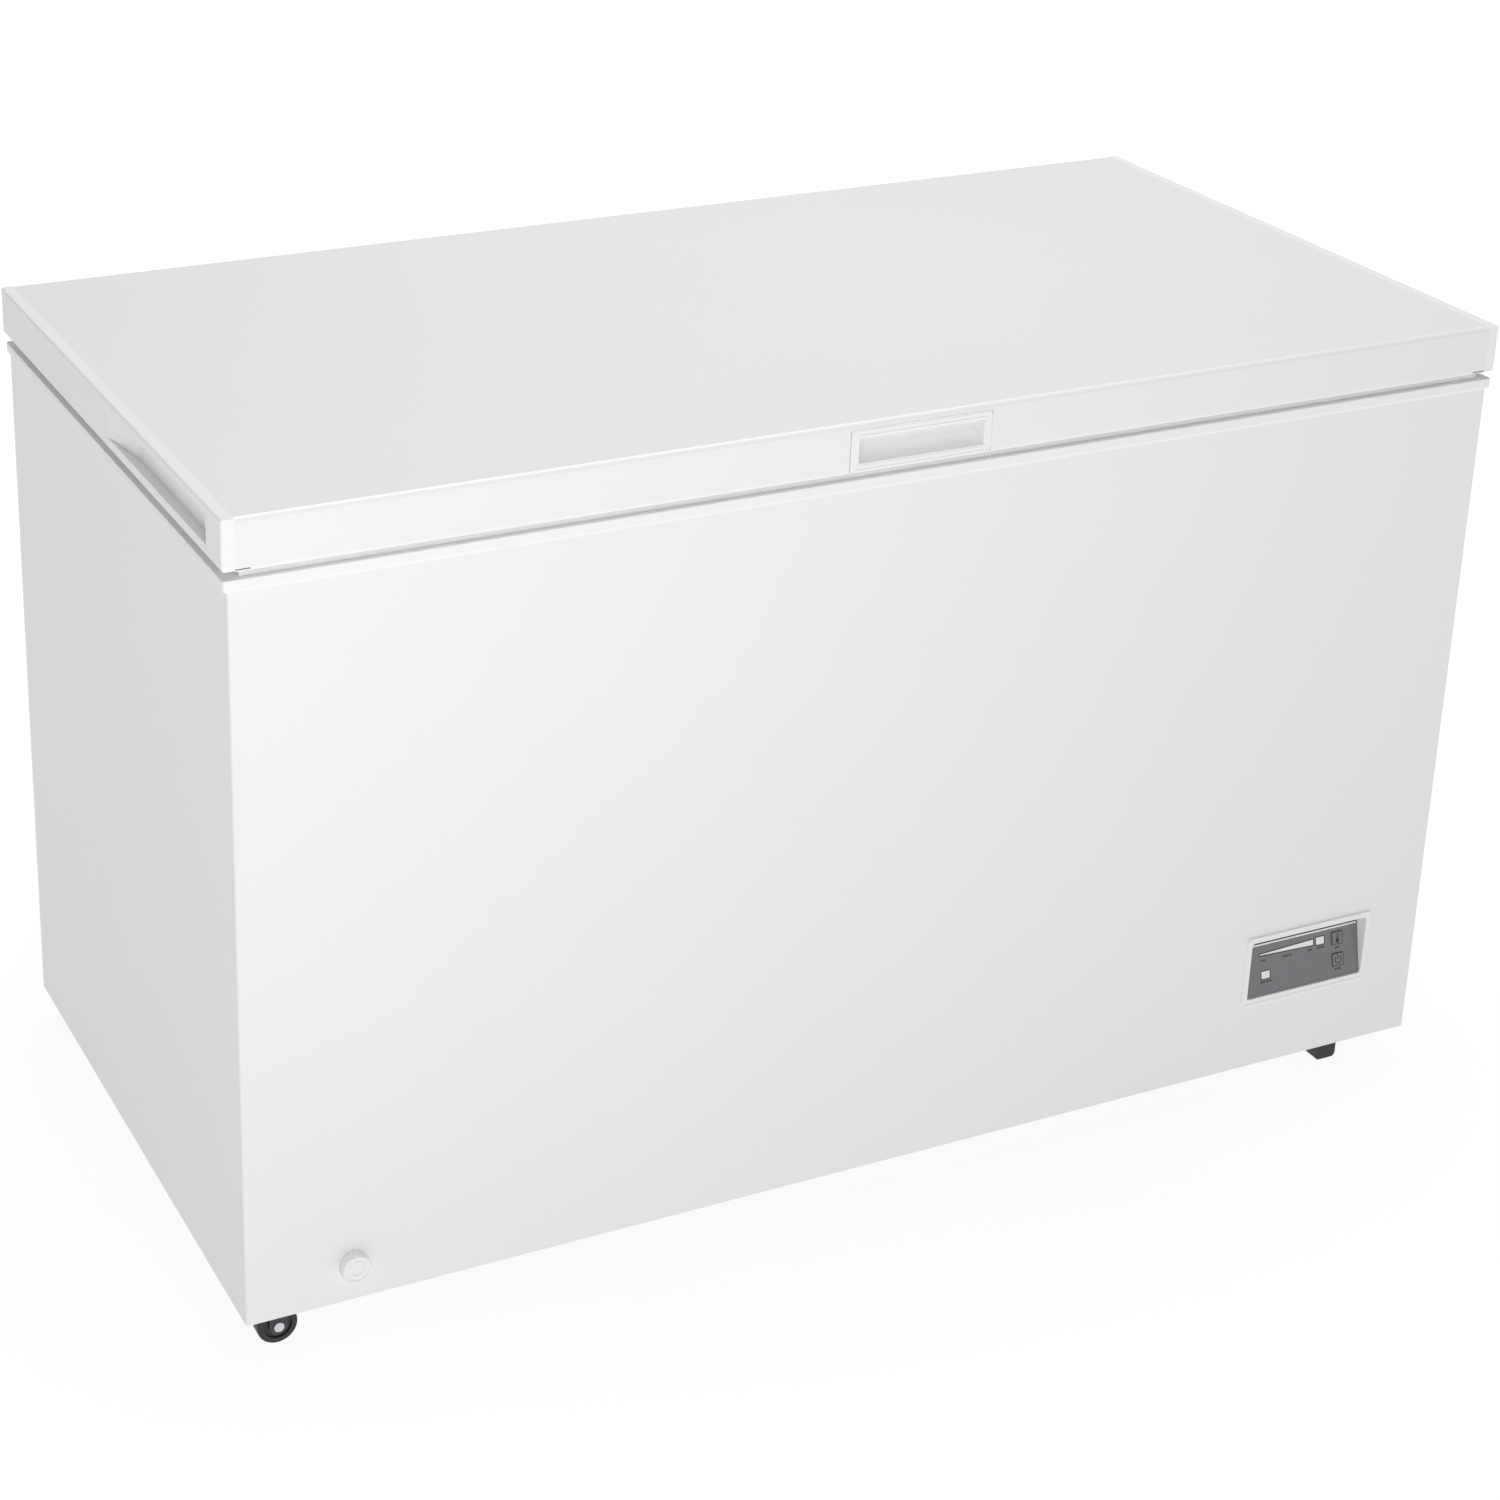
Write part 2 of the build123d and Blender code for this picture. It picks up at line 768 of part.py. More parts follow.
terminal_z = can_z + compressor_height * 0.25
terminal_front = compressor_y - compressor_radius - terminal_depth
with BuildPart() as terminal_cover:
    block(
        compressor_x - terminal_width / 2,
        compressor_x + terminal_width / 2,
        terminal_front,
        compressor_y,
        terminal_z - terminal_height / 4,
        terminal_z + terminal_height / 2,
    )
    fillet(terminal_cover.edges().group_by(Axis.Y)[0], panel_wall)
    with Locations((compressor_x, compressor_y, terminal_z)):
        Cylinder(compressor_radius + compressor_seam + contact_gap, 2 * terminal_height, mode=Mode.SUBTRACT)
save(terminal_cover.part, "terminal_cover")

# Pipes between the compressor and the tubes in the foam
pipe_z = can_z + pipe_level
suction_x = compressor_x - compressor_radius - pipe_stub
suction_pipe = tube_along(
    [
        (compressor_x - compressor_radius, compressor_y, pipe_z),
        (suction_x, compressor_y, pipe_z),
        (suction_x, compressor_y, divider_bottom),
    ],
    pipe_bend,
    pipe_radius,
)
save(suction_pipe, "suction_pipe")

discharge_x = compressor_x + compressor_radius + pipe_stub
discharge_pipe = tube_along(
    [
        (compressor_x + compressor_radius, compressor_y, pipe_z),
        (discharge_x, compressor_y, pipe_z),
        (discharge_x, compressor_y, divider_bottom),
    ],
    pipe_bend,
    condenser_tube,
)
save(discharge_pipe, "discharge_pipe")

with BuildPart() as filter_drier:
    drier_x = divider_x + sheet + 2 * drier_radius
    drier_y = compressor_y - compressor_radius - 4 * drier_radius
    drier_top = divider_bottom - 4 * drier_radius
    rod((drier_x, drier_y, drier_top - drier_length), (drier_x, drier_y, drier_top), drier_radius)
    fillet(filter_drier.edges().filter_by(GeomType.CIRCLE), drier_radius / 2)
    rod((drier_x, drier_y, drier_top - drier_radius), (drier_x, drier_y, divider_bottom), drier_tube)
save(filter_drier.part, "filter_drier")


# Louvred cover over the rear of the compartment, and the vent grille in the right-hand end
def hood_profile(face, low, reach):
    """Section of one louvre hood standing on a face: (distance out, height) points."""
    return [
        (face, low), (face + reach, low - reach / 2), (face + reach, low - reach / 2 - 1), (face, low - 1)
    ]


cover_x = (cover_left + cover_right) / 2
cover_face = cabinet_rear + cover_sheet
louvre_low = (cover_low + cover_high) / 2 - (louvre_count - 1) * louvre_pitch / 2
gland_x = cover_right - 2 * cover_opening_margin
gland_z = cover_low + 1.5 * cover_opening_margin
with BuildPart() as compressor_cover:
    block(cover_left, cover_right, cabinet_rear, cover_face, cover_low, cover_high)
    fillet(compressor_cover.edges().filter_by(Axis.Y), corner_radius)
    for row in range(1, louvre_count):
        slot_z = louvre_low + row * louvre_pitch
        with GridLocations(louvre_length + cover_opening_margin / 2, 1, 2, 1) as columns:
            for column in columns:
                slot_x = cover_x + column.position.X
                left, right = slot_x - louvre_length / 2, slot_x + louvre_length / 2
                block(
                    left, right, cabinet_rear - 1, cover_face + 1, slot_z - louvre_slot, slot_z, Mode.SUBTRACT
                )
                hood = hood_profile(cover_face, slot_z + 1, louvre_hood)
                with BuildSketch(Plane.YZ.offset(left)) as section:
                    Polygon(*hood, align=None)
                extrude(section.sketch, amount=louvre_length)
    for x, z in cover_screws:
        rod((x, cabinet_rear - 1, z), (x, cover_face + 1, z), screw_radius, Mode.SUBTRACT)
    rod((gland_x, cabinet_rear - 1, gland_z), (gland_x, cover_face + 1, gland_z), gland_nose, Mode.SUBTRACT)
save(compressor_cover.part, "compressor_cover")

with BuildPart() as cord_gland:
    rod((gland_x, cover_face, gland_z), (gland_x, cover_face + gland_flange, gland_z), gland_radius)
    rod(
        (gland_x, cabinet_rear - gland_reach, gland_z),
        (gland_x, cover_face + gland_reach, gland_z),
        gland_nose,
    )
    rod(
        (gland_x, cabinet_rear - gland_reach, gland_z),
        (gland_x, cover_face + gland_reach, gland_z),
        gland_bore,
        Mode.SUBTRACT,
    )
save(cord_gland.part, "cord_gland")

with BuildPart() as side_vent_grille:
    block(
        cabinet_side,
        cabinet_side + grille_proud,
        grille_y - grille_length / 2,
        grille_y + grille_length / 2,
        grille_z - grille_height / 2,
        grille_z + grille_height / 2,
    )
    chamfer(side_vent_grille.faces().sort_by(Axis.X)[-1].edges(), grille_proud / 2)
    bar_pitch = (grille_height - 2 * grille_border) / grille_bars
    for gap in range(grille_bars):
        gap_z = grille_z - grille_height / 2 + grille_border + (gap + 0.5) * bar_pitch
        block(
            cabinet_side - 1,
            cabinet_side + grille_proud + 1,
            grille_y - grille_length / 2 + grille_border,
            grille_y + grille_length / 2 - grille_border,
            gap_z - (bar_pitch - grille_bar) / 2,
            gap_z + (bar_pitch - grille_bar) / 2,
            Mode.SUBTRACT,
        )
save(side_vent_grille.part, "side_vent_grille")

# Wheels: each in a fork under the base panel, turning on an axle across the freezer
fork_leg_reach = fork_width / 2
leg_offset = wheel_width / 2 + fork_gap + plate / 2


def wheel_fork(y):
    """A bent fork: a flange under the base panel and a rounded leg each side of the wheel."""
    with BuildPart() as fork:
        length = wheel_width + 2 * fork_gap + 2 * plate
        block(
            wheel_x - fork_flange / 2,
            wheel_x + fork_flange / 2,
            y - length / 2,
            y + length / 2,
            base_level - plate,
            base_level,
        )
        for side in (-1, 1):
            leg_y = y + side * leg_offset
            rod(
                (wheel_x, leg_y - plate / 2, wheel_radius),
                (wheel_x, leg_y + plate / 2, wheel_radius),
                fork_leg_reach,
            )
            block(
                wheel_x - fork_leg_reach,
                wheel_x + fork_leg_reach,
                leg_y - plate / 2,
                leg_y + plate / 2,
                wheel_radius,
                base_level,
            )
            rod(
                (wheel_x, leg_y - plate, wheel_radius),
                (wheel_x, leg_y + plate, wheel_radius),
                axle_radius,
                Mode.SUBTRACT,
            )
        for dx in (-fork_screw_x, fork_screw_x):
            rod(
                (wheel_x + dx, y, base_level - 2 * plate),
                (wheel_x + dx, y, base_level + 1),
                screw_radius,
                Mode.SUBTRACT,
            )
    return fork.part


def wheel(y):
    """A moulded wheel with rounded treads and a dished hub on each face."""
    with BuildPart() as disc:
        rod(
            (wheel_x, y - wheel_width / 2, wheel_radius),
            (wheel_x, y + wheel_width / 2, wheel_radius),
            wheel_radius,
        )
        fillet(disc.edges().filter_by(GeomType.CIRCLE), wheel_round)
        for side in (-1, 1):
            face_y = y + side * wheel_width / 2
            dish = Vector(wheel_x, face_y - side * wheel_round, wheel_radius)
            rod(dish, (wheel_x, face_y + side, wheel_radius), wheel_radius - 3 * wheel_round, Mode.SUBTRACT)
            rod(dish, (wheel_x, face_y, wheel_radius), 2 * axle_radius)
        bore = axle_radius + running_clearance
        rod(
            (wheel_x, y - wheel_width, wheel_radius),
            (wheel_x, y + wheel_width, wheel_radius),
            bore,
            Mode.SUBTRACT,
        )
    return disc.part


def wheel_axle(y):
    """An axle through the fork, with a rounded head outside each leg."""
    reach = leg_offset + plate / 2
    with BuildPart() as axle:
        rod((wheel_x, y - reach, wheel_radius), (wheel_x, y + reach, wheel_radius), axle_radius)
        for side in (-1, 1):
            rod(
                (wheel_x, y + side * reach, wheel_radius),
                (wheel_x, y + side * (reach + axle_head), wheel_radius),
                axle_head_radius,
            )
    return axle.part


for place, y in zip(("front", "rear"), wheel_ys):
    save(wheel_fork(y), f"{place}_wheel_fork")
    save(wheel(y), f"{place}_wheel")
save_group([wheel_axle(y) for y in wheel_ys], "wheel_axles")

for place, y in zip(("front", "rear"), foot_ys):
    with BuildPart() as foot:
        block(
            foot_x - foot_width / 2,
            foot_x + foot_width / 2,
            y - foot_length / 2,
            y + foot_length / 2,
            0,
            base_level,
        )
        fillet(foot.edges().filter_by(Axis.Y).group_by(Axis.Z)[0], foot_round)
        rod((foot_x, y, base_level - foot_screw_hold), (foot_x, y, tray_top), screw_radius, Mode.SUBTRACT)
    save(foot.part, f"{place}_foot")

# Control panel: a bezel with a sleeve, a tilted fascia, windows, buttons, the board and its housing
bezel_face = cabinet_front - panel_proud
sleeve_end = cabinet_front + sleeve_depth


def panel_prism(width, height, radius, y_low, y_high, mode=Mode.ADD):
    """A rounded rectangle round the middle of the control panel, between two depths."""
    with BuildSketch(Plane.XZ.offset(-y_high)) as outline:
        with Locations((panel_x, panel_z)):
            RectangleRounded(width, height, radius)
    extrude(outline.sketch, amount=y_high - y_low, mode=mode)


with BuildPart() as panel_bezel:
    panel_prism(panel_width, panel_height, panel_round, bezel_face, cabinet_front)
    fillet(panel_bezel.faces().sort_by(Axis.Y)[0].edges(), panel_proud / 3)
    panel_prism(sleeve_width, sleeve_height, window_round, bezel_face, sleeve_end)
    panel_prism(window_width, window_height, window_round, bezel_face - 1, sleeve_end + 1, Mode.SUBTRACT)
save(panel_bezel.part, "panel_bezel")

fascia_low_z = panel_z - window_height / 2 + fascia_clearance
fascia_high_z = panel_z + window_height / 2 - fascia_clearance
fascia_tilt = atan2(fascia_high_depth - fascia_low_depth, fascia_high_z - fascia_low_z)
fascia_low_y = bezel_face + fascia_low_depth
fascia_high_y = bezel_face + fascia_high_depth
fascia_plane = Plane(
    origin=(panel_x, (fascia_low_y + fascia_high_y) / 2, panel_z),
    x_dir=(1, 0, 0),
    z_dir=(0, -cos(fascia_tilt), sin(fascia_tilt)),
)
button_places = [(button_column, button_rise), (button_column, button_rise - button_pitch)]


def on_fascia(shapes, low, high, mode=Mode.ADD):
    """Extrude sketch objects that lie in the fascia's plane, between two heights over it."""
    for place, shape in shapes:
        with BuildSketch(fascia_plane.offset(low)) as outline:
            with Locations(place):
                shape()
        extrude(outline.sketch, amount=high - low, mode=mode)


def scale_wedge():
    """The window of the temperature scale, thin at the cold end's start and thick at its end."""
    Polygon(
        (scale_left, scale_rise - scale_thin / 2),
        (scale_right, scale_rise - scale_thick / 2),
        (scale_right, scale_rise + scale_thick / 2),
        (scale_left, scale_rise + scale_thin / 2),
        align=None,
    )


def lamp():
    """The window over one lamp."""
    Rectangle(lamp_size, lamp_height)


def button_hole():
    """The hole for one button."""
    RectangleRounded(button_size + 2 * button_clearance, button_size + 2 * button_clearance, button_round)


windows = [((0, 0), scale_wedge), ((alarm_column, scale_rise), lamp), ((run_column, run_rise), lamp)]
half_width = window_width / 2 - fascia_clearance
with BuildPart() as fascia:
    with BuildSketch(Plane.YZ.offset(panel_x - half_width)):
        Polygon(
            (fascia_low_y, fascia_low_z),
            (fascia_high_y, fascia_high_z),
            (fascia_high_y + fascia_thickness, fascia_high_z),
            (fascia_low_y + fascia_thickness, fascia_low_z),
            align=None,
        )
    extrude(amount=2 * half_width)
    panel_prism(
        2 * half_width,
        window_height - 2 * fascia_clearance,
        window_round,
        bezel_face,
        sleeve_end,
        Mode.INTERSECT,
    )
    on_fascia(windows, -2 * fascia_thickness, fascia_thickness, Mode.SUBTRACT)
    on_fascia(
        [(place, button_hole) for place in button_places],
        -2 * fascia_thickness,
        fascia_thickness,
        Mode.SUBTRACT,
    )
save(fascia.part, "fascia")

back = -fascia_thickness * cos(fascia_tilt)
with BuildPart() as indicator_windows:
    on_fascia(windows, back, 0)
save(indicator_windows.part, "indicator_windows")

board_face = back - board_gap
with BuildPart() as control_board:
    with BuildSketch(fascia_plane.offset(board_face - board_thickness)):
        Rectangle(board_width, board_height)
    extrude(amount=board_thickness)
    with BuildSketch(fascia_plane.offset(board_face)):
        with Locations(*button_places):
            Rectangle(switch_size, switch_size)
        with Locations((alarm_column, scale_rise), (run_column, run_rise)):
            Rectangle(switch_size / 2, switch_size / 2)
    extrude(amount=board_gap / 4)
    with BuildSketch(fascia_plane.offset(board_face)):
        with GridLocations(board_width - 4 * post_radius, board_height - 3 * post_radius, 2, 2):
            Circle(post_radius)
    extrude(amount=board_gap)
save(control_board.part, "control_board")

box_end = sleeve_end + box_depth
with BuildPart() as control_box:
    panel_prism(sleeve_width, sleeve_height, window_round, sleeve_end, box_end)
    panel_prism(
        window_width, window_height, window_round, sleeve_end - 1, box_end - panel_wall, Mode.SUBTRACT
    )
save(control_box.part, "control_box")


def button(place):
    """A square button with a flange behind the fascia and a stem for its switch."""
    flange_top = back - contact_gap
    flange_low = flange_top - button_flange
    stem_end = board_face + board_gap / 4 + button_travel + contact_gap
    with BuildPart() as key:
        with BuildSketch(fascia_plane.offset(flange_low)):
            with Locations(place):
                RectangleRounded(button_size, button_size, button_round)
        extrude(amount=button_proud - flange_low)
        with BuildSketch(fascia_plane.offset(flange_low)):
            with Locations(place):
                Rectangle(button_size + 4 * button_clearance, button_size + 4 * button_clearance)
        extrude(amount=button_flange)
        with BuildSketch(fascia_plane.offset(stem_end)):
            with Locations(place):
                Circle(post_radius)
        extrude(amount=flange_low - stem_end)
    return key.part


for name, place in zip(("set_button", "power_button"), button_places):
    save(button(place), name)

loom_x = compressor_x - compressor_radius / 4
loom = tube_along(
    [
        (loom_x - loom_bend, box_end, panel_z - loom_bend),
        (loom_x - loom_bend, (box_end + terminal_front) / 2, panel_z - loom_bend),
        (loom_x, (box_end + terminal_front) / 2 + 3 * loom_bend, terminal_z),
        (loom_x, terminal_front, terminal_z),
    ],
    loom_bend,
    loom_radius,
)
save(loom, "wiring_loom")

# Drain: an elbow in the foam, a spout that pulls out in front, its screw cap and the plug in the tub
with BuildPart() as drain_elbow:
    rod((drain_x, inner_front, drain_z), (drain_x, elbow_y, drain_z), elbow_radius)
    rod((drain_x, elbow_y, drain_z), (drain_x, elbow_y, foam_floor), elbow_radius)
    with Locations((drain_x, elbow_y, drain_z)):
        Sphere(elbow_radius)
    rod((drain_x, inner_front, drain_z), (drain_x, elbow_y, drain_z), elbow_bore, Mode.SUBTRACT)
    rod((drain_x, elbow_y, drain_z), (drain_x, elbow_y, foam_floor), elbow_bore, Mode.SUBTRACT)
save(drain_elbow.part, "drain_elbow")

cap_face = -lid_depth / 2 - end_reach
cap_back = cabinet_front - contact_gap
with BuildPart() as drain_spout:
    nose = cap_face + cap_wall + contact_gap
    rod((drain_x, nose, drain_z), (drain_x, nose + spout_length, drain_z), spout_radius)
    rod(
        (drain_x, cap_back - contact_gap, drain_z),
        (drain_x, cap_back - contact_gap - spout_flange_thickness, drain_z),
        spout_flange,
    )
    rod((drain_x, nose, drain_z), (drain_x, nose + spout_length, drain_z), spout_bore, Mode.SUBTRACT)
save(drain_spout.part, "drain_spout")

with BuildPart() as drain_cap:
    rod((drain_x, cap_face, drain_z), (drain_x, cap_back, drain_z), cap_radius - cap_rib)
    fillet(drain_cap.edges().filter_by(GeomType.CIRCLE).group_by(Axis.Y)[0], cap_rib)
    with BuildSketch(Plane.XZ.offset(-cap_back)):
        with Locations((drain_x, drain_z)):
            with PolarLocations(cap_radius - cap_rib, cap_ribs):
                Circle(cap_rib)
    extrude(amount=cap_back - cap_face - 2 * cap_rib)
    rod(
        (drain_x, cap_face + cap_wall, drain_z),
        (drain_x, cap_back, drain_z),
        cap_radius - cap_wall,
        Mode.SUBTRACT,
    )
    with BuildSketch(Plane.XZ.offset(-cap_face - cap_rib)):
        with Locations((drain_x, drain_z)):
            Circle(cap_radius - 2 * cap_rib)
            Circle(cap_ring_radius, mode=Mode.SUBTRACT)
    extrude(amount=cap_rib, mode=Mode.SUBTRACT)
    with BuildSketch(Plane.XZ.offset(-cap_face - cap_rib)):
        with Locations((drain_x, drain_z)):
            Circle(cap_ring_radius - cap_ring)
    extrude(amount=cap_rib, mode=Mode.SUBTRACT)
save(drain_cap.part, "drain_cap")

with BuildPart() as tub_drain_plug:
    head_low = tub_floor + contact_gap
    rod((drain_x, elbow_y, head_low), (drain_x, elbow_y, head_low + plug_head), plug_head_radius)
    fillet(tub_drain_plug.edges().filter_by(GeomType.CIRCLE).group_by(Axis.Z)[-1], plug_head / 3)
    rod((drain_x, elbow_y, head_low), (drain_x, elbow_y, head_low - plug_stem_length), plug_stem)
save(tub_drain_plug.part, "tub_drain_plug")

# Hinges: base plates with two ears, pins, springs round the pins, and arms on the lid
def hinge_base(x):
    """A plate on the rear panel with an ear each side of the arm."""
    with BuildPart() as base:
        block(
            x - base_plate_width / 2,
            x + base_plate_width / 2,
            cabinet_rear,
            cabinet_rear + plate,
            plate_bottom,
            plate_top,
        )
        for side in (-1, 1):
            inner_x = x + side * hinge_gap / 2
            outer_x = inner_x + side * ear_thickness
            rod((inner_x, hinge_y, hinge_z), (outer_x, hinge_y, hinge_z), ear_radius)
            with BuildSketch(Plane.YZ.offset(min(inner_x, outer_x))) as stem:
                Polygon(
                    (cabinet_rear + plate, plate_bottom + base_plate_height / 3),
                    (hinge_y + ear_radius, hinge_z - 4 * ear_radius),
                    (hinge_y + ear_radius, hinge_z),
                    (hinge_y - ear_radius, hinge_z),
                    (cabinet_rear + plate / 2, plate_top),
                    align=None,
                )
            extrude(stem.sketch, amount=ear_thickness)
        reach = hinge_gap
        rod((x - reach, hinge_y, hinge_z), (x + reach, hinge_y, hinge_z), pin_radius, Mode.SUBTRACT)
        for dx in (-hinge_screw_x, hinge_screw_x):
            for z in hinge_screw_zs:
                rod(
                    (x + dx, cabinet_rear - 1, z),
                    (x + dx, cabinet_rear + 2 * plate, z),
                    screw_radius,
                    Mode.SUBTRACT,
                )
    return base.part


def hinge_arm(x):
    """A plate on the lid's rear face with two knuckles round the pin."""
    face = lid_rear + plate
    with BuildPart() as arm:
        block(
            x - arm_width / 2,
            x + arm_width / 2,
            lid_rear,
            face,
            hinge_z + arm_start,
            hinge_z + arm_start + arm_height,
        )
        half_gap = hinge_gap / 2 - fork_gap
        block(x - half_gap, x + half_gap, lid_rear, face, hinge_z, hinge_z + arm_start)
        rod((x - half_gap, hinge_y, hinge_z), (x + half_gap, hinge_y, hinge_z), knuckle_radius)
        inner = half_gap - knuckle_length
        block(
            x - inner,
            x + inner,
            hinge_y - 2 * ear_radius,
            hinge_y + 2 * ear_radius,
            hinge_z - 2 * ear_radius,
            hinge_z + arm_start - plate,
            Mode.SUBTRACT,
        )
        bore = pin_radius + running_clearance
        rod((x - hinge_gap, hinge_y, hinge_z), (x + hinge_gap, hinge_y, hinge_z), bore, Mode.SUBTRACT)
        for dx in (-arm_screw_x, arm_screw_x):
            for z in arm_screw_zs:
                rod((x + dx, lid_rear - 1, z), (x + dx, face + 1, z), screw_radius, Mode.SUBTRACT)
    return arm.part


def hinge_spring(x):
    """A torsion spring round the middle of the pin."""
    length = hinge_gap - 2 * fork_gap - 2 * knuckle_length - 4 * spring_wire
    coil_radius = end_reach - hinge_setback - spring_wire
    with BuildPart() as spring:
        with BuildLine() as coil:
            Helix(
                length / spring_turns,
                length,
                coil_radius,
                center=(x - length / 2, hinge_y, hinge_z),
                direction=(1, 0, 0),
            )
        with BuildSketch(Plane(origin=coil.line @ 0, z_dir=coil.line % 0)):
            Circle(spring_wire)
        sweep(is_frenet=True)
    return spring.part


arm_screw_x = arm_width / 2 - 3 * screw_radius
arm_screw_zs = (hinge_z + arm_start + 5 * screw_radius, hinge_z + arm_start + arm_height - 3 * screw_radius)
save_group([hinge_base(x) for x in hinge_xs], "hinge_bases")
save_group([hinge_arm(x) for x in hinge_xs], "hinge_arms")
save_group([hinge_spring(x) for x in hinge_xs], "hinge_springs")
with BuildPart() as hinge_pins:
    for x in hinge_xs:
        reach = hinge_gap / 2 + ear_thickness
        rod((x - reach, hinge_y, hinge_z), (x + reach, hinge_y, hinge_z), pin_radius)
save(hinge_pins.part, "hinge_pins")

sheet_grip = plate + sheet
cabinet_screws = [screw_along_y(x, cabinet_rear + plate, z, sheet_grip) for x, z in hinge_base_screws]
cabinet_screws += [screw_along_y(x, cover_face, z, cover_sheet + sheet) for x, z in cover_screws]
cabinet_screws += [screw_up(x, y, base_level - plate, sheet_grip) for x, y in fork_screws]
cabinet_screws += [screw_down(foot_x, y, tray_top, tray_sheet + foot_screw_hold) for y in foot_ys]
save_group(cabinet_screws, "cabinet_screws")

# Lid: painted skin, end caps, handle, foam, liner with its plug, and the gasket
arm_screws = [(x + dx, z) for x in hinge_xs for dx in (-arm_screw_x, arm_screw_x) for z in arm_screw_zs]
handle_top = lid_bottom + handle_height
handle_left = handle_centre - handle_width / 2
handle_right = handle_centre + handle_width / 2


def lid_section(inset, low):
    """Outline of the lid across its length, inset by a thickness and open down to a height."""
    front, rear, top = lid_front + inset, lid_rear - inset, overall_height - inset
    with BuildSketch(Plane.YZ) as section:
        with BuildLine():
            FilletPolyline((front, low), (front, top), (0, top), radius=lid_front_round - inset)
            FilletPolyline((0, top), (rear, top), (rear, low), radius=lid_rear_round - inset)
            Line((rear, low), (front, low))
        make_face()
    return section.sketch


def handle_room(mode):
    """The block of the handle that stands inside the lid."""
    block(
        handle_left + handle_overlap,
        handle_right - handle_overlap,
        lid_front,
        lid_front + handle_depth,
        lid_bottom,
        handle_top - handle_overlap,
        mode,
    )


with BuildPart() as lid_outer_panel:
    extrude(lid_section(0, lid_bottom), amount=cap_inner, both=True)
    extrude(lid_section(lid_sheet, lid_bottom - 1), amount=cap_inner, both=True, mode=Mode.SUBTRACT)
    block(
        -cap_inner,
        cap_inner,
        lid_front - 1,
        lid_front + 1,
        lid_bottom - 1,
        lid_bottom + lid_skin_lift,
        Mode.SUBTRACT,
    )
    block(
        handle_left + handle_overlap,
        handle_right - handle_overlap,
        lid_front - 1,
        lid_front + 1,
        lid_bottom - 1,
        handle_top - handle_overlap,
        Mode.SUBTRACT,
    )
    for x, z in arm_screws:
        rod((x, lid_rear - 2 * lid_sheet, z), (x, lid_rear + 1, z), screw_radius, Mode.SUBTRACT)
save(lid_outer_panel.part, "lid_outer_panel")


def lid_cap():
    """The right-hand end cap: an outer strip, a tongue under the skin and the long hand grip."""
    with BuildPart() as cap:
        block(cap_inner, lid_side, lid_front, lid_rear, lid_bottom, overall_height)
        fillet(cap.faces().sort_by(Axis.X)[-1].edges(), cap_round)
        block(
            cap_inner - cap_tongue,
            cap_inner,
            lid_front + lid_sheet + lid_front_round,
            lid_rear - lid_sheet - lid_rear_round,
            lid_bottom,
            overall_height - lid_sheet,
        )
        recess_start = lid_front + recess_front
        recess_end = recess_start + recess_length
        recess_floor = lid_side - recess_depth
        with BuildSketch(Plane.XY.offset(lid_bottom + recess_bottom)):
            Polygon(
                (lid_side, recess_start),
                (lid_side, recess_end),
                (recess_floor, recess_end - recess_ramp),
                (recess_floor, recess_start),
                align=None,
            )
        extrude(amount=recess_height, mode=Mode.SUBTRACT)
    return cap.part


right_cap = lid_cap()
save(right_cap, "lid_right_cap")
save(mirror(right_cap, about=Plane.YZ), "lid_left_cap")

with BuildPart() as lid_handle:
    handle_face = lid_front - handle_proud
    with BuildSketch(Plane.XZ.offset(-lid_front)):
        with BuildLine():
            FilletPolyline(
                (handle_centre, lid_bottom),
                (handle_left, lid_bottom),
                (handle_left, handle_top),
                (handle_centre, handle_top),
                radius=handle_round,
            )
            FilletPolyline(
                (handle_centre, handle_top),
                (handle_right, handle_top),
                (handle_right, lid_bottom),
                (handle_centre, lid_bottom),
                radius=handle_round,
            )
        make_face()
    extrude(amount=handle_proud)
    handle_room(Mode.ADD)
    fillet(lid_handle.faces().sort_by(Axis.Y)[0].edges(), handle_proud / 2)
    grip_low = lid_bottom + grip_bottom
    grip_high = grip_low + grip_height
    with BuildSketch(Plane.YZ.offset(handle_centre - grip_width / 2)):
        with BuildLine():
            FilletPolyline(
                (handle_face - 1, grip_low),
                (handle_face + grip_depth, grip_low + grip_slope),
                (handle_face + grip_depth, grip_high),
                (handle_face - 1, grip_high),
                radius=grip_round,
            )
            Line((handle_face - 1, grip_high), (handle_face - 1, grip_low))
        make_face()
    extrude(amount=grip_width, mode=Mode.SUBTRACT)
save(lid_handle.part, "lid_handle")

plug_side = tub_side - plug_gap
plug_front = tub_front + plug_gap
plug_rear = tub_rear - plug_gap
plug_bottom = lid_bottom - plug_drop
liner_side = cap_inner - cap_tongue
liner_low = lid_bottom - liner_thickness
# The liner turns up behind the lower edge of the front skin, so no foam is bare there
lip_back = lid_front + lid_sheet + liner_thickness
lip_top = lid_bottom + lid_skin_lift + liner_thickness
with BuildPart() as lid_foam:
    extrude(lid_section(lid_sheet, lid_bottom), amount=liner_side, both=True)
    block(-liner_side, liner_side, lid_front, lip_back, lid_bottom, lip_top, Mode.SUBTRACT)
    handle_room(Mode.SUBTRACT)
    block(
        -plug_side + liner_thickness,
        plug_side - liner_thickness,
        plug_front + liner_thickness,
        plug_rear - liner_thickness,
        plug_bottom + liner_thickness,
        lid_bottom,
    )
save(lid_foam.part, "lid_foam")

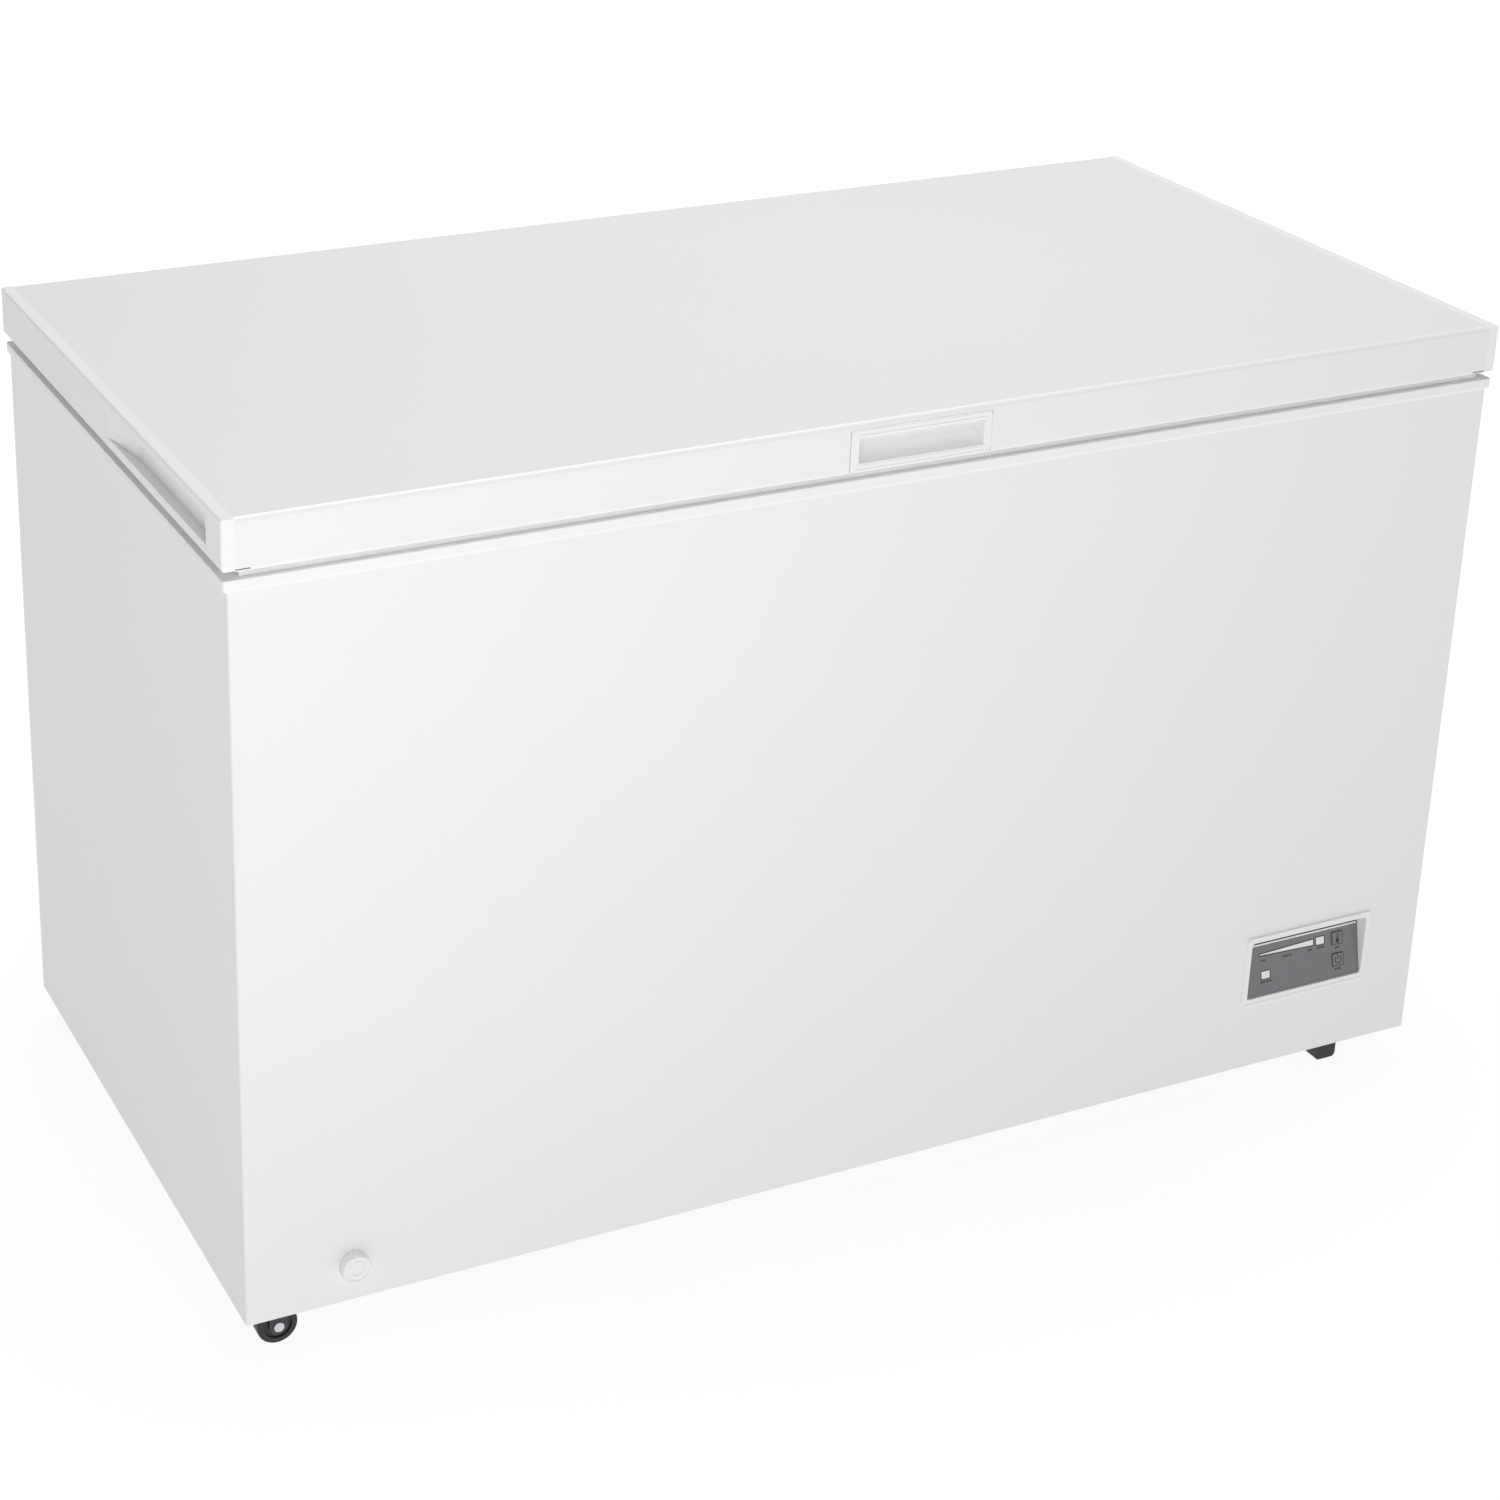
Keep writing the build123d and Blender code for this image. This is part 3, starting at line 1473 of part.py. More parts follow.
with BuildPart() as lid_liner:
    block(-liner_side, liner_side, lid_front + lid_sheet, lip_back, lid_bottom, lip_top)
    handle_room(Mode.SUBTRACT)
    block(-cap_inner, cap_inner, lid_front + lid_sheet, lid_rear - 4 * lid_sheet, liner_low, lid_bottom)
    block(-plug_side, plug_side, plug_front, plug_rear, plug_bottom, liner_low)
    fillet(lid_liner.edges().filter_by(Axis.Z).group_by(SortBy.LENGTH)[-1], 4 * liner_thickness)
    block(
        -plug_side + liner_thickness,
        plug_side - liner_thickness,
        plug_front + liner_thickness,
        plug_rear - liner_thickness,
        plug_bottom + liner_thickness,
        lid_bottom,
        Mode.SUBTRACT,
    )
save(lid_liner.part, "lid_liner")

gasket_bottom = frame_top + contact_gap
gasket_outer = (lid_side - gasket_side_inset, lid_front + gasket_front_inset, lid_rear - gasket_rear_inset)
gasket_inner = (
    gasket_outer[0] - gasket_width, gasket_outer[1] + gasket_width, gasket_outer[2] - gasket_width
)


def gasket_strip(outline):
    """One mitred strip of the gasket, with a pleat along both faces."""
    with BuildPart() as strip:
        block(-gasket_outer[0], gasket_outer[0], gasket_outer[1], gasket_outer[2], gasket_bottom, liner_low)
        block(
            -gasket_inner[0],
            gasket_inner[0],
            gasket_inner[1],
            gasket_inner[2],
            gasket_bottom,
            liner_low,
            Mode.SUBTRACT,
        )
        keep_within(outline, gasket_bottom, liner_low)
    return strip.part


save_group([gasket_strip(outline) for outline in mitres(gasket_outer, gasket_inner)], "lid_gasket")
save_group(
    [screw_along_y(x, lid_rear + plate, z, plate + lid_sheet) for x, z in arm_screws], "hinge_arm_screws"
)

# Wire basket, hung on the ledge round the mouth of the tub
basket_right = tub_side - basket_end_gap
basket_left = basket_right - basket_length
side_front = tub_front + basket_side_gap
side_rear = tub_rear - basket_side_gap
hanger_z = frame_bottom + contact_gap + rim_wire
rim_z = hanger_z - 2 * rim_wire
mesh_top = rim_z - rim_wire - running_clearance
mesh_low = hanger_z - basket_height
cross = 2 * mesh_wire - weld
middle_y = (tub_front + tub_rear) / 2


def spread(low, high, pitch):
    """Even places between two limits, no further apart than a pitch."""
    count = int((high - low) / pitch) + 1
    return [low + (high - low) * i / count for i in range(count + 1)]


along = spread(
    basket_left + rim_wire + mesh_wire + weld, basket_right - rim_wire - mesh_wire - weld, mesh_pitch
)
across = spread(side_front + 2 * mesh_pitch / 3, side_rear - 2 * mesh_pitch / 3, mesh_pitch)
up = spread(mesh_low + mesh_pitch, mesh_top - mesh_pitch / 2, mesh_pitch)

basket_rim = []
for x in (basket_left + rim_wire, basket_right - rim_wire):
    with BuildPart() as hanger:
        rod((x, tub_front - hanger_reach, hanger_z), (x, tub_rear + hanger_reach, hanger_z), rim_wire)
        fillet(hanger.edges().filter_by(GeomType.CIRCLE), rim_wire / 2)
    basket_rim.append(hanger.part)
for y in (side_front, side_rear):
    with BuildPart() as rail:
        rod((basket_left, y, rim_z), (basket_right, y, rim_z), rim_wire)
        fillet(rail.edges().filter_by(GeomType.CIRCLE), rim_wire / 2)
    basket_rim.append(rail.part)
save_group(basket_rim, "basket_rim")


def side_mesh(y, inward):
    """The mesh along one long side: uprights, with level wires welded inside them."""
    with BuildPart() as mesh:
        for x in along:
            rod((x, y, mesh_low), (x, y, mesh_top), mesh_wire)
        for z in up:
            rod(
                (along[0] - cross, y + inward * cross, z),
                (along[-1] + cross, y + inward * cross, z),
                mesh_wire,
            )
    return mesh.part


def end_mesh(x, inward):
    """The mesh across one end, welded under the hanger."""
    with BuildPart() as mesh:
        for y in across:
            under_grip = abs(y - middle_y) < grip_length / 2 + 2 * mesh_wire
            below = (grip_radius if under_grip else rim_wire) + running_clearance
            rod((x, y, mesh_low), (x, y, hanger_z - below), mesh_wire)
        for z in up:
            rod(
                (x + inward * cross, across[0] - mesh_pitch / 3, z),
                (x + inward * cross, across[-1] + mesh_pitch / 3, z),
                mesh_wire,
            )
    return mesh.part


save_group([side_mesh(side_front, 1), side_mesh(side_rear, -1)], "basket_long_sides")
end_xs = (basket_left + rim_wire, basket_right - rim_wire)
save_group([end_mesh(end_xs[0], 1), end_mesh(end_xs[1], -1)], "basket_ends")
with BuildPart() as basket_floor:
    floor_z = mesh_low + mesh_wire
    for x in along[1:-1]:
        rod(
            (x, side_front + mesh_wire + weld, floor_z), (x, side_rear - mesh_wire - weld, floor_z), mesh_wire
        )
    for y in across:
        rod(
            (end_xs[0] + mesh_wire + weld, y, floor_z + cross),
            (end_xs[1] - mesh_wire - weld, y, floor_z + cross),
            mesh_wire,
        )
save(basket_floor.part, "basket_floor")

basket_grips = []
for x in end_xs:
    with BuildPart() as grip:
        rod((x, middle_y - grip_length / 2, hanger_z), (x, middle_y + grip_length / 2, hanger_z), grip_radius)
        fillet(grip.edges().filter_by(GeomType.CIRCLE), rim_wire / 2)
        rod(
            (x, middle_y - grip_length, hanger_z),
            (x, middle_y + grip_length, hanger_z),
            rim_wire,
            Mode.SUBTRACT,
        )
    basket_grips.append(grip.part)
save_group(basket_grips, "basket_grips")
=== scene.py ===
import bmesh
import bpy
import json
from math import cos, pi, radians, sin
from mathutils import Matrix, Vector


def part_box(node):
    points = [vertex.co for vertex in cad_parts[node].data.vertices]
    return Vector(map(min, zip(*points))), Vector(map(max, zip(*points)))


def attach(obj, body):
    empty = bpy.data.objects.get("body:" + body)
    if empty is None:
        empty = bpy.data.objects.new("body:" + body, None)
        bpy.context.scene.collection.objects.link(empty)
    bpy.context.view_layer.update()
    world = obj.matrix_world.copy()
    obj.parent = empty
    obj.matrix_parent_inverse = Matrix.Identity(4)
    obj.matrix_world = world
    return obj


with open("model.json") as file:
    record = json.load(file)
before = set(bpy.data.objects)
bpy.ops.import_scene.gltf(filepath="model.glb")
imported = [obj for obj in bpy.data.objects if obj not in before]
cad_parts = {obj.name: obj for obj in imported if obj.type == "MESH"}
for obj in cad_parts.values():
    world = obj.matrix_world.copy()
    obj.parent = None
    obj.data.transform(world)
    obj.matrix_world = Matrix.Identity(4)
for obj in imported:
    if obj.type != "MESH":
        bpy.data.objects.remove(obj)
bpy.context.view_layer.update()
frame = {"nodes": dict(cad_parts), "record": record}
nodes = frame["nodes"]

MM = 0.001

# Materials: each finish has its own function, and its base colour is a linear value

class Paint:
    """A principled material that is put together node by node."""

    def __init__(self, name, colour, roughness, metallic=0.0, coat=0.0):
        self.material = bpy.data.materials.new(name)
        self.material.use_nodes = True
        self.tree = self.material.node_tree
        self.shader = self.tree.nodes["Principled BSDF"]
        self.shader.inputs["Base Color"].default_value = (*colour, 1)
        self.shader.inputs["Roughness"].default_value = roughness
        self.shader.inputs["Metallic"].default_value = metallic
        self.shader.inputs["Coat Weight"].default_value = coat
        self.colour = colour
        self.normal = None
        self.coordinates = self.tree.nodes.new("ShaderNodeTexCoord").outputs["Object"]

    def node(self, kind, **values):
        """A new node with its settings and its unlinked inputs filled in."""
        made = self.tree.nodes.new(kind)
        for key, value in values.items():
            if key in made.inputs:
                made.inputs[key].default_value = value
            else:
                setattr(made, key, value)
        return made

    def link(self, start, end):
        self.tree.links.new(start, end)

    def noise(self, scale, detail=2.0, roughness=0.5, stretch=None):
        """Object-space noise; stretch gives the grain a direction."""
        noise = self.node("ShaderNodeTexNoise", Scale=scale, Detail=detail, Roughness=roughness)
        if stretch:
            mapping = self.node("ShaderNodeMapping")
            mapping.inputs["Scale"].default_value = stretch
            self.link(self.coordinates, mapping.inputs["Vector"])
            self.link(mapping.outputs["Vector"], noise.inputs["Vector"])
        else:
            self.link(self.coordinates, noise.inputs["Vector"])
        return noise.outputs["Fac"]

    def cells(self, scale, stretch=(1, 1, 1), feature="F1"):
        """Object-space cells, for embossing and foam."""
        cells = self.node("ShaderNodeTexVoronoi", Scale=scale, feature=feature)
        mapping = self.node("ShaderNodeMapping")
        mapping.inputs["Scale"].default_value = stretch
        self.link(self.coordinates, mapping.inputs["Vector"])
        self.link(mapping.outputs["Vector"], cells.inputs["Vector"])
        return cells.outputs["Distance"]

    def bump(self, height, strength, distance):
        """Stack one more bump on the surface."""
        bump = self.node("ShaderNodeBump", Strength=strength, Distance=distance)
        self.link(height, bump.inputs["Height"])
        if self.normal:
            self.link(self.normal, bump.inputs["Normal"])
        self.normal = bump.outputs["Normal"]
        self.link(self.normal, self.shader.inputs["Normal"])

    def spread(self, fac, low, high, socket):
        """Map a texture between two values onto a number socket."""
        ramp = self.node("ShaderNodeMapRange")
        ramp.inputs["To Min"].default_value = low
        ramp.inputs["To Max"].default_value = high
        self.link(fac, ramp.inputs["Value"])
        self.link(ramp.outputs["Result"], self.shader.inputs[socket])

    def tint(self, fac, low, high):
        """Blend the base colour between two colours by a texture."""
        mix = self.node("ShaderNodeMix", data_type="RGBA")
        mix.inputs["A"].default_value = (*low, 1)
        mix.inputs["B"].default_value = (*high, 1)
        self.link(fac, mix.inputs["Factor"])
        self.link(mix.outputs["Result"], self.shader.inputs["Base Color"])


def shade(colour, factor):
    """A colour made lighter or darker."""
    return tuple(min(1.0, c * factor) for c in colour)


def white_steel():
    """White powder coat: a faint orange peel under a satin gloss."""
    paint = Paint("white_powder_coat", (0.83, 0.83, 0.835), 0.36, coat=0.12)
    paint.shader.inputs["Coat Roughness"].default_value = 0.18
    paint.tint(paint.noise(3.0, 3.0), shade(paint.colour, 0.99), shade(paint.colour, 1.01))
    paint.spread(paint.noise(900.0, 2.0), 0.32, 0.42, "Roughness")
    paint.bump(paint.noise(420.0, 2.0), 0.10, 0.00025)
    paint.bump(paint.noise(2600.0, 1.0), 0.05, 0.0001)
    return paint.material


def white_plastic():
    """Satin white moulding with a fine spark-eroded texture."""
    paint = Paint("white_moulding", (0.86, 0.86, 0.86), 0.42)
    paint.tint(paint.noise(5.0, 3.0), shade(paint.colour, 0.985), shade(paint.colour, 1.01))
    paint.spread(paint.noise(1400.0, 2.0), 0.36, 0.5, "Roughness")
    paint.bump(paint.noise(1900.0, 2.0), 0.08, 0.00012)
    return paint.material


def gasket_rubber():
    """Soft white magnetic gasket, a little duller than the mouldings."""
    paint = Paint("white_gasket", (0.74, 0.745, 0.75), 0.6)
    paint.tint(paint.noise(40.0, 3.0), shade(paint.colour, 0.95), shade(paint.colour, 1.02))
    paint.bump(paint.noise(1200.0, 3.0), 0.12, 0.0002)
    paint.shader.inputs["Subsurface Weight"].default_value = 0.08
    paint.shader.inputs["Subsurface Radius"].default_value = (0.002, 0.002, 0.002)
    return paint.material


def grey_fascia():
    """Mid-grey printed film over the panel, with a fine grain."""
    paint = Paint("grey_panel_film", (0.165, 0.17, 0.178), 0.3, coat=0.25)
    paint.shader.inputs["Coat Roughness"].default_value = 0.2
    paint.tint(paint.noise(1500.0, 2.0), shade(paint.colour, 0.9), shade(paint.colour, 1.12))
    paint.bump(paint.noise(2200.0, 2.0), 0.08, 0.0001)
    return paint.material


def button_plastic():
    """Keys of the same grey, a touch lighter."""
    paint = Paint("grey_key", (0.19, 0.195, 0.203), 0.34)
    paint.tint(paint.noise(1600.0, 2.0), shade(paint.colour, 0.92), shade(paint.colour, 1.1))
    paint.bump(paint.noise(2400.0, 2.0), 0.08, 0.0001)
    return paint.material


def window_plastic():
    """Milky windows over the lamps."""
    paint = Paint("milky_window", (0.86, 0.86, 0.86), 0.28)
    paint.tint(paint.noise(300.0, 2.0), shade(paint.colour, 0.96), shade(paint.colour, 1.02))
    paint.shader.inputs["Subsurface Weight"].default_value = 0.2
    paint.shader.inputs["Subsurface Radius"].default_value = (0.002, 0.002, 0.002)
    return paint.material


def print_and_shade_ink():
    """Dark grey printing on the panel, also used as painted shade for the dark line above the fascia's
    white ledge.
    """
    paint = Paint("panel_print_and_painted_shade", (0.028, 0.029, 0.031), 0.45)
    paint.tint(paint.noise(2500.0, 2.0), shade(paint.colour, 0.8), shade(paint.colour, 1.5))
    return paint.material


def seam_grey():
    """The shade at the bottom of a narrow joint."""
    paint = Paint("seam_shade", (0.42, 0.425, 0.435), 0.7)
    paint.tint(paint.noise(600.0, 2.0), shade(paint.colour, 0.9), shade(paint.colour, 1.05))
    return paint.material


def stucco_aluminium():
    """Stucco-embossed aluminium sheet inside the tub."""
    paint = Paint("stucco_aluminium", (0.80, 0.81, 0.82), 0.34, metallic=1.0)
    paint.bump(paint.noise(170.0, 1.0, 0.4), 0.55, 0.0009)
    paint.bump(paint.noise(60.0, 2.0), 0.2, 0.0008)
    paint.spread(paint.noise(25.0, 3.0), 0.28, 0.42, "Roughness")
    return paint.material


def foam():
    """Pale yellow rigid foam with small closed cells."""
    paint = Paint("rigid_foam", (0.66, 0.52, 0.24), 0.85)
    paint.tint(paint.noise(30.0, 4.0), shade(paint.colour, 0.8), shade(paint.colour, 1.1))
    paint.bump(paint.cells(700.0), 0.6, 0.0008)
    return paint.material


def galvanised():
    """Zinc-coated sheet with its spangle."""
    paint = Paint("galvanised_sheet", (0.56, 0.575, 0.59), 0.42, metallic=1.0)
    spangle = paint.cells(95.0)
    paint.tint(spangle, shade(paint.colour, 0.86), shade(paint.colour, 1.12))
    paint.spread(spangle, 0.34, 0.5, "Roughness")
    paint.bump(paint.noise(500.0, 2.0), 0.08, 0.0002)
    return paint.material


def bright_zinc():
    """Bright zinc plate on screws, pins and springs."""
    paint = Paint("bright_zinc", (0.62, 0.63, 0.65), 0.28, metallic=1.0)
    paint.spread(paint.noise(700.0, 3.0), 0.22, 0.4, "Roughness")
    paint.bump(paint.noise(900.0, 2.0), 0.1, 0.0001)
    return paint.material


def dark_steel():
    """Dark grey phosphated forks."""
    paint = Paint("dark_fork_steel", (0.05, 0.052, 0.056), 0.42, metallic=0.55)
    paint.tint(paint.noise(300.0, 4.0), shade(paint.colour, 0.7), shade(paint.colour, 1.5))
    paint.bump(paint.noise(1500.0, 2.0), 0.12, 0.00015)
    return paint.material


def black_plastic():
    """Black moulding with a leather-like grain."""
    paint = Paint("black_moulding", (0.014, 0.014, 0.015), 0.48)
    paint.tint(paint.noise(60.0, 3.0), shade(paint.colour, 0.8), shade(paint.colour, 1.5))
    paint.spread(paint.noise(1100.0, 2.0), 0.4, 0.58, "Roughness")
    paint.bump(paint.noise(1300.0, 3.0), 0.2, 0.0002)
    return paint.material


def copper():
    """Drawn copper, slightly dulled."""
    paint = Paint("drawn_copper", (0.68, 0.32, 0.18), 0.3, metallic=1.0)
    paint.tint(paint.noise(90.0, 4.0), shade(paint.colour, 0.7), shade(paint.colour, 1.05))
    paint.spread(paint.noise(200.0, 3.0), 0.24, 0.45, "Roughness")
    return paint.material


def black_enamel():
    """Gloss black enamel on pressed steel."""
    paint = Paint("black_enamel", (0.012, 0.012, 0.013), 0.24, coat=0.5)
    paint.bump(paint.noise(260.0, 2.0), 0.12, 0.0003)
    paint.spread(paint.noise(30.0, 4.0), 0.2, 0.36, "Roughness")
    return paint.material


def black_rubber():
    """Matt black rubber with bloom."""
    paint = Paint("black_rubber", (0.02, 0.02, 0.02), 0.75)
    paint.tint(paint.noise(120.0, 4.0), shade(paint.colour, 0.7), shade(paint.colour, 1.8))
    paint.bump(paint.noise(900.0, 3.0), 0.2, 0.0002)
    return paint.material


def circuit_board():
    """Green solder mask over glass fibre."""
    paint = Paint("solder_mask", (0.015, 0.12, 0.045), 0.3, coat=0.3)
    weave = paint.cells(900.0, feature="F1")
    paint.tint(weave, shade(paint.colour, 0.8), shade(paint.colour, 1.2))
    paint.bump(weave, 0.1, 0.0001)
    return paint.material


def coated_wire():
    """White dip-coated wire with a soft, slightly uneven skin."""
    paint = Paint("dip_coated_wire", (0.83, 0.835, 0.84), 0.3, coat=0.2)
    paint.tint(paint.noise(40.0, 3.0), shade(paint.colour, 0.96), shade(paint.colour, 1.01))
    paint.bump(paint.noise(350.0, 2.0), 0.2, 0.0003)
    return paint.material


def floor_paint():
    """The pale studio floor, lit from within and a little more so away from the middle."""
    paint = Paint("studio_floor", (0.09, 0.09, 0.09), 0.9)
    paint.shader.inputs["Specular IOR Level"].default_value = 0.0
    paint.shader.inputs["Emission Color"].default_value = (1, 1, 1, 1)
    distance = paint.node("ShaderNodeVectorMath", operation="LENGTH")
    paint.link(paint.coordinates, distance.inputs[0])
    glow = paint.node("ShaderNodeMapRange")
    glow.inputs["From Min"].default_value = 0.5
    glow.inputs["From Max"].default_value = 2.0
    glow.inputs["To Min"].default_value = 0.91
    glow.inputs["To Max"].default_value = 1.0
    paint.link(distance.outputs["Value"], glow.inputs["Value"])
    paint.link(glow.outputs["Result"], paint.shader.inputs["Emission Strength"])
    return paint.material


finishes = {
    "white_steel": white_steel(),
    "white_plastic": white_plastic(),
    "gasket_rubber": gasket_rubber(),
    "grey_fascia": grey_fascia(),
    "button_plastic": button_plastic(),
    "window_plastic": window_plastic(),
    "liner_aluminium": stucco_aluminium(),
    "foam": foam(),
    "galvanised_steel": galvanised(),
    "zinc_screws": bright_zinc(),
    "dark_steel": dark_steel(),
    "black_plastic": black_plastic(),
    "copper": copper(),
    "steel_tube": black_enamel(),
    "compressor_black": black_enamel(),
    "black_rubber": black_rubber(),
    "circuit_board": circuit_board(),
    "coated_wire": coated_wire(),
    "grip_plastic": white_plastic(),
}
ink_and_painted_shade = print_and_shade_ink()
seam_shadow = seam_grey()

for part in frame["record"]["subparts"]:
    mesh = nodes[part["node"]].data
    mesh.materials.clear()
    mesh.materials.append(finishes[part["material_slot"]])


# Every folded or moulded edge is slightly rounded, which also draws the seams between parts
thick_mouldings = ("lid_left_cap", "lid_right_cap", "top_frame", "panel_bezel", "lid_handle", "drain_cap")
feet = ("front_foot", "rear_foot")
keys = ("set_button", "power_button")
fine_parts = keys + ("lid_outer_panel", "fascia", "indicator_windows", "side_vent_grille")
forks = ("front_wheel_fork", "rear_wheel_fork")
pressings = forks + ("compressor_cover", "hinge_bases", "hinge_arms", "compressor_tray")
eased = {0.5: thick_mouldings + feet, 0.25: fine_parts, 0.3: ("lid_liner",) + pressings}
for width, names in eased.items():
    for name in names:
        bevel = nodes[name].modifiers.new("eased_edges", "BEVEL")
        bevel.width = width * MM
        bevel.segments = 2
        bevel.limit_method = "ANGLE"
        bevel.angle_limit = radians(38)

def as_piece(shape, name, body, material):
    """Turn a finished shape into a named object that rides on a body."""
    bmesh.ops.recalc_face_normals(shape, faces=shape.faces)
    data = bpy.data.meshes.new(name)
    shape.to_mesh(data)
    shape.free()
    data.materials.append(material)
    made = bpy.data.objects.new(name, data)
    bpy.context.scene.collection.objects.link(made)
    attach(made, body)


# Shapes, in millimetres on a plane given by its origin and its across, upward and outward axes
class Sketch:
    """Thin raised shapes on one plane, gathered in one mesh."""

    def __init__(self, origin, across, upward):
        self.origin = Vector(origin)
        self.across = Vector(across).normalized()
        self.upward = Vector(upward).normalized()
        self.outward = self.across.cross(self.upward)
        self.mesh = bmesh.new()

    def point(self, u, v, w):
        return self.origin + MM * (u * self.across + v * self.upward + w * self.outward)

    def wall(self, first, second):
        """Quads between two closed rows of vertices."""
        count = len(first)
        for i in range(count):
            j = (i + 1) % count
            self.mesh.faces.new((first[i], first[j], second[j], second[i]))

    def row(self, outline, height):
        return [self.mesh.verts.new(self.point(u, v, height)) for u, v in outline]

    def slab(self, outline, low, high):
        """A filled outline between two heights."""
        bottom, top = self.row(outline, low), self.row(outline, high)
        self.wall(bottom, top)
        self.mesh.faces.new(top)
        self.mesh.faces.new(list(reversed(bottom)))

    def ring(self, outer, inner, low, high):
        """The band between two outlines that have the same number of points."""
        rows = [self.row(outer, low), self.row(outer, high), self.row(inner, high), self.row(inner, low)]
        for first, second in zip(rows, rows[1:] + rows[:1]):
            self.wall(first, second)

    def piece(self, name, body, slot, material):
        """The finished mesh, riding on a body."""
        as_piece(self.mesh, name, body, material)


def arc(centre, radius, start, end, steps):
    """Points along an arc, angles in degrees from the across axis."""
    turns = [radians(start + (end - start) * i / steps) for i in range(steps + 1)]
    return [(centre[0] + radius * cos(t), centre[1] + radius * sin(t)) for t in turns]


def rounded(centre, width, height, radius, steps=5):
    """A rounded rectangle, anticlockwise."""
    du, dv = width / 2 - radius, height / 2 - radius
    corners = ((1, 1, 0), (-1, 1, 90), (-1, -1, 180), (1, -1, 270))
    points = []
    for su, sv, start in corners:
        points += arc((centre[0] + su * du, centre[1] + sv * dv), radius, start, start + 90, steps)
    return points


def circle(centre, radius, steps=32):
    return arc(centre, radius, 0, 360, steps)[:-1]


def bead(mesh, points, radius, sides=8):
    """A closed round bead along a loop of points in metres."""
    count = len(points)
    rows = []
    for i, point in enumerate(points):
        along = (points[(i + 1) % count] - points[i - 1]).normalized()
        side = along.cross(Vector((0, 0, 1)))
        side = side.normalized() if side.length > 0.01 else Vector((0, 1, 0))
        lift = side.cross(along)
        turns = [2 * pi * k / sides for k in range(sides)]
        rows.append([mesh.verts.new(point + radius * (cos(t) * side + sin(t) * lift)) for t in turns])
    for first, second in zip(rows, rows[1:] + rows[:1]):
        for k in range(sides):
            m = (k + 1) % sides
            mesh.faces.new((first[k], first[m], second[m], second[k]))


# Control panel: printing on the sloping fascia, and the marks on its two keys
fascia_tilt = radians(12.51)
fascia_low, fascia_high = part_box("fascia")
half_width = (fascia_high.x - fascia_low.x) / 2 / MM
panel_middle = Vector(
    (
        (fascia_low.x + fascia_high.x) / 2,
        fascia_low.y + (fascia_high.z - fascia_low.z) / 2 * sin(fascia_tilt) / cos(fascia_tilt),
        (fascia_low.z + fascia_high.z) / 2,
    )
)
panel_up = (0, sin(fascia_tilt), cos(fascia_tilt))
skin = 0.05


def on_panel():
    return Sketch(panel_middle, (1, 0, 0), panel_up)


outlines = on_panel()
scale_left, scale_right, scale_rise = -54.0, 15.5, 10.5


def scale_outline(spread):
    """The outline of the wedge-shaped scale, grown by a distance."""
    tip = arc((scale_left, scale_rise), 0.55 + spread, 90, 270, 6)
    low = arc((scale_right - 0.2, scale_rise - 2.8), 0.2 + spread, 270, 360, 3)
    high = arc((scale_right - 0.2, scale_rise + 2.8), 0.2 + spread, 0, 90, 3)
    return tip + low + high


outlines.ring(scale_outline(1.2), scale_outline(0), 0, skin)
for lamp in ((24.5, 10.5), (-47.5, -12.5)):
    outlines.ring(rounded(lamp, 12.9, 10.4, 2.0), rounded(lamp, 10.6, 8.1, 0.9), 0, skin)
outlines.piece("window_outlines", "cabinet", "black_plastic", ink_and_painted_shade)

# Each label is a row of small blocks: middle, height above the middle of the panel, blocks
labels = on_panel()
block_width, block_height, block_step = 1.5, 2.3, 2.1
for middle, level_v, count in (
    (-50, 3.6, 3),
    (-19, 3.0, 6),
    (10.5, 3.0, 3),
    (25, 3.0, 5),
    (-47.5, -20.0, 7),
    (46.5, -1.6, 3),
    (46.5, -25.4, 4),
):
    for i in range(count):
        u = middle + (i - (count - 1) / 2) * block_step
        labels.slab(rounded((u, level_v), block_width, block_height, 0.3, 2), 0, skin)
labels.piece("panel_labels", "cabinet", "black_plastic", ink_and_painted_shade)

# The white ledge across the fascia, and above it a dark strip of painted shadow for the shade under the
# bezel's top wall
ledge_half, ledge_bottom, ledge_top, shadow_top = half_width - 3, 21.4, 23.0, 24.6


def band(low, high):
    """Outline of a strip across the panel."""
    return [(-ledge_half, low), (ledge_half, low), (ledge_half, high), (-ledge_half, high)]


ledge = on_panel()
ledge.slab(band(ledge_bottom, ledge_top), 0, 1.4)
ledge.piece("fascia_ledge", "cabinet", "white_plastic", finishes["white_plastic"])
# Painted shadow: a thin dark ink strip above the ledge stands for the shade under the bezel's top wall
shadow_strip = on_panel()
shadow_strip.slab(band(ledge_top, shadow_top), 0, 0.3)
shadow_strip.piece("fascia_painted_shadow", "cabinet", "black_plastic", ink_and_painted_shade)

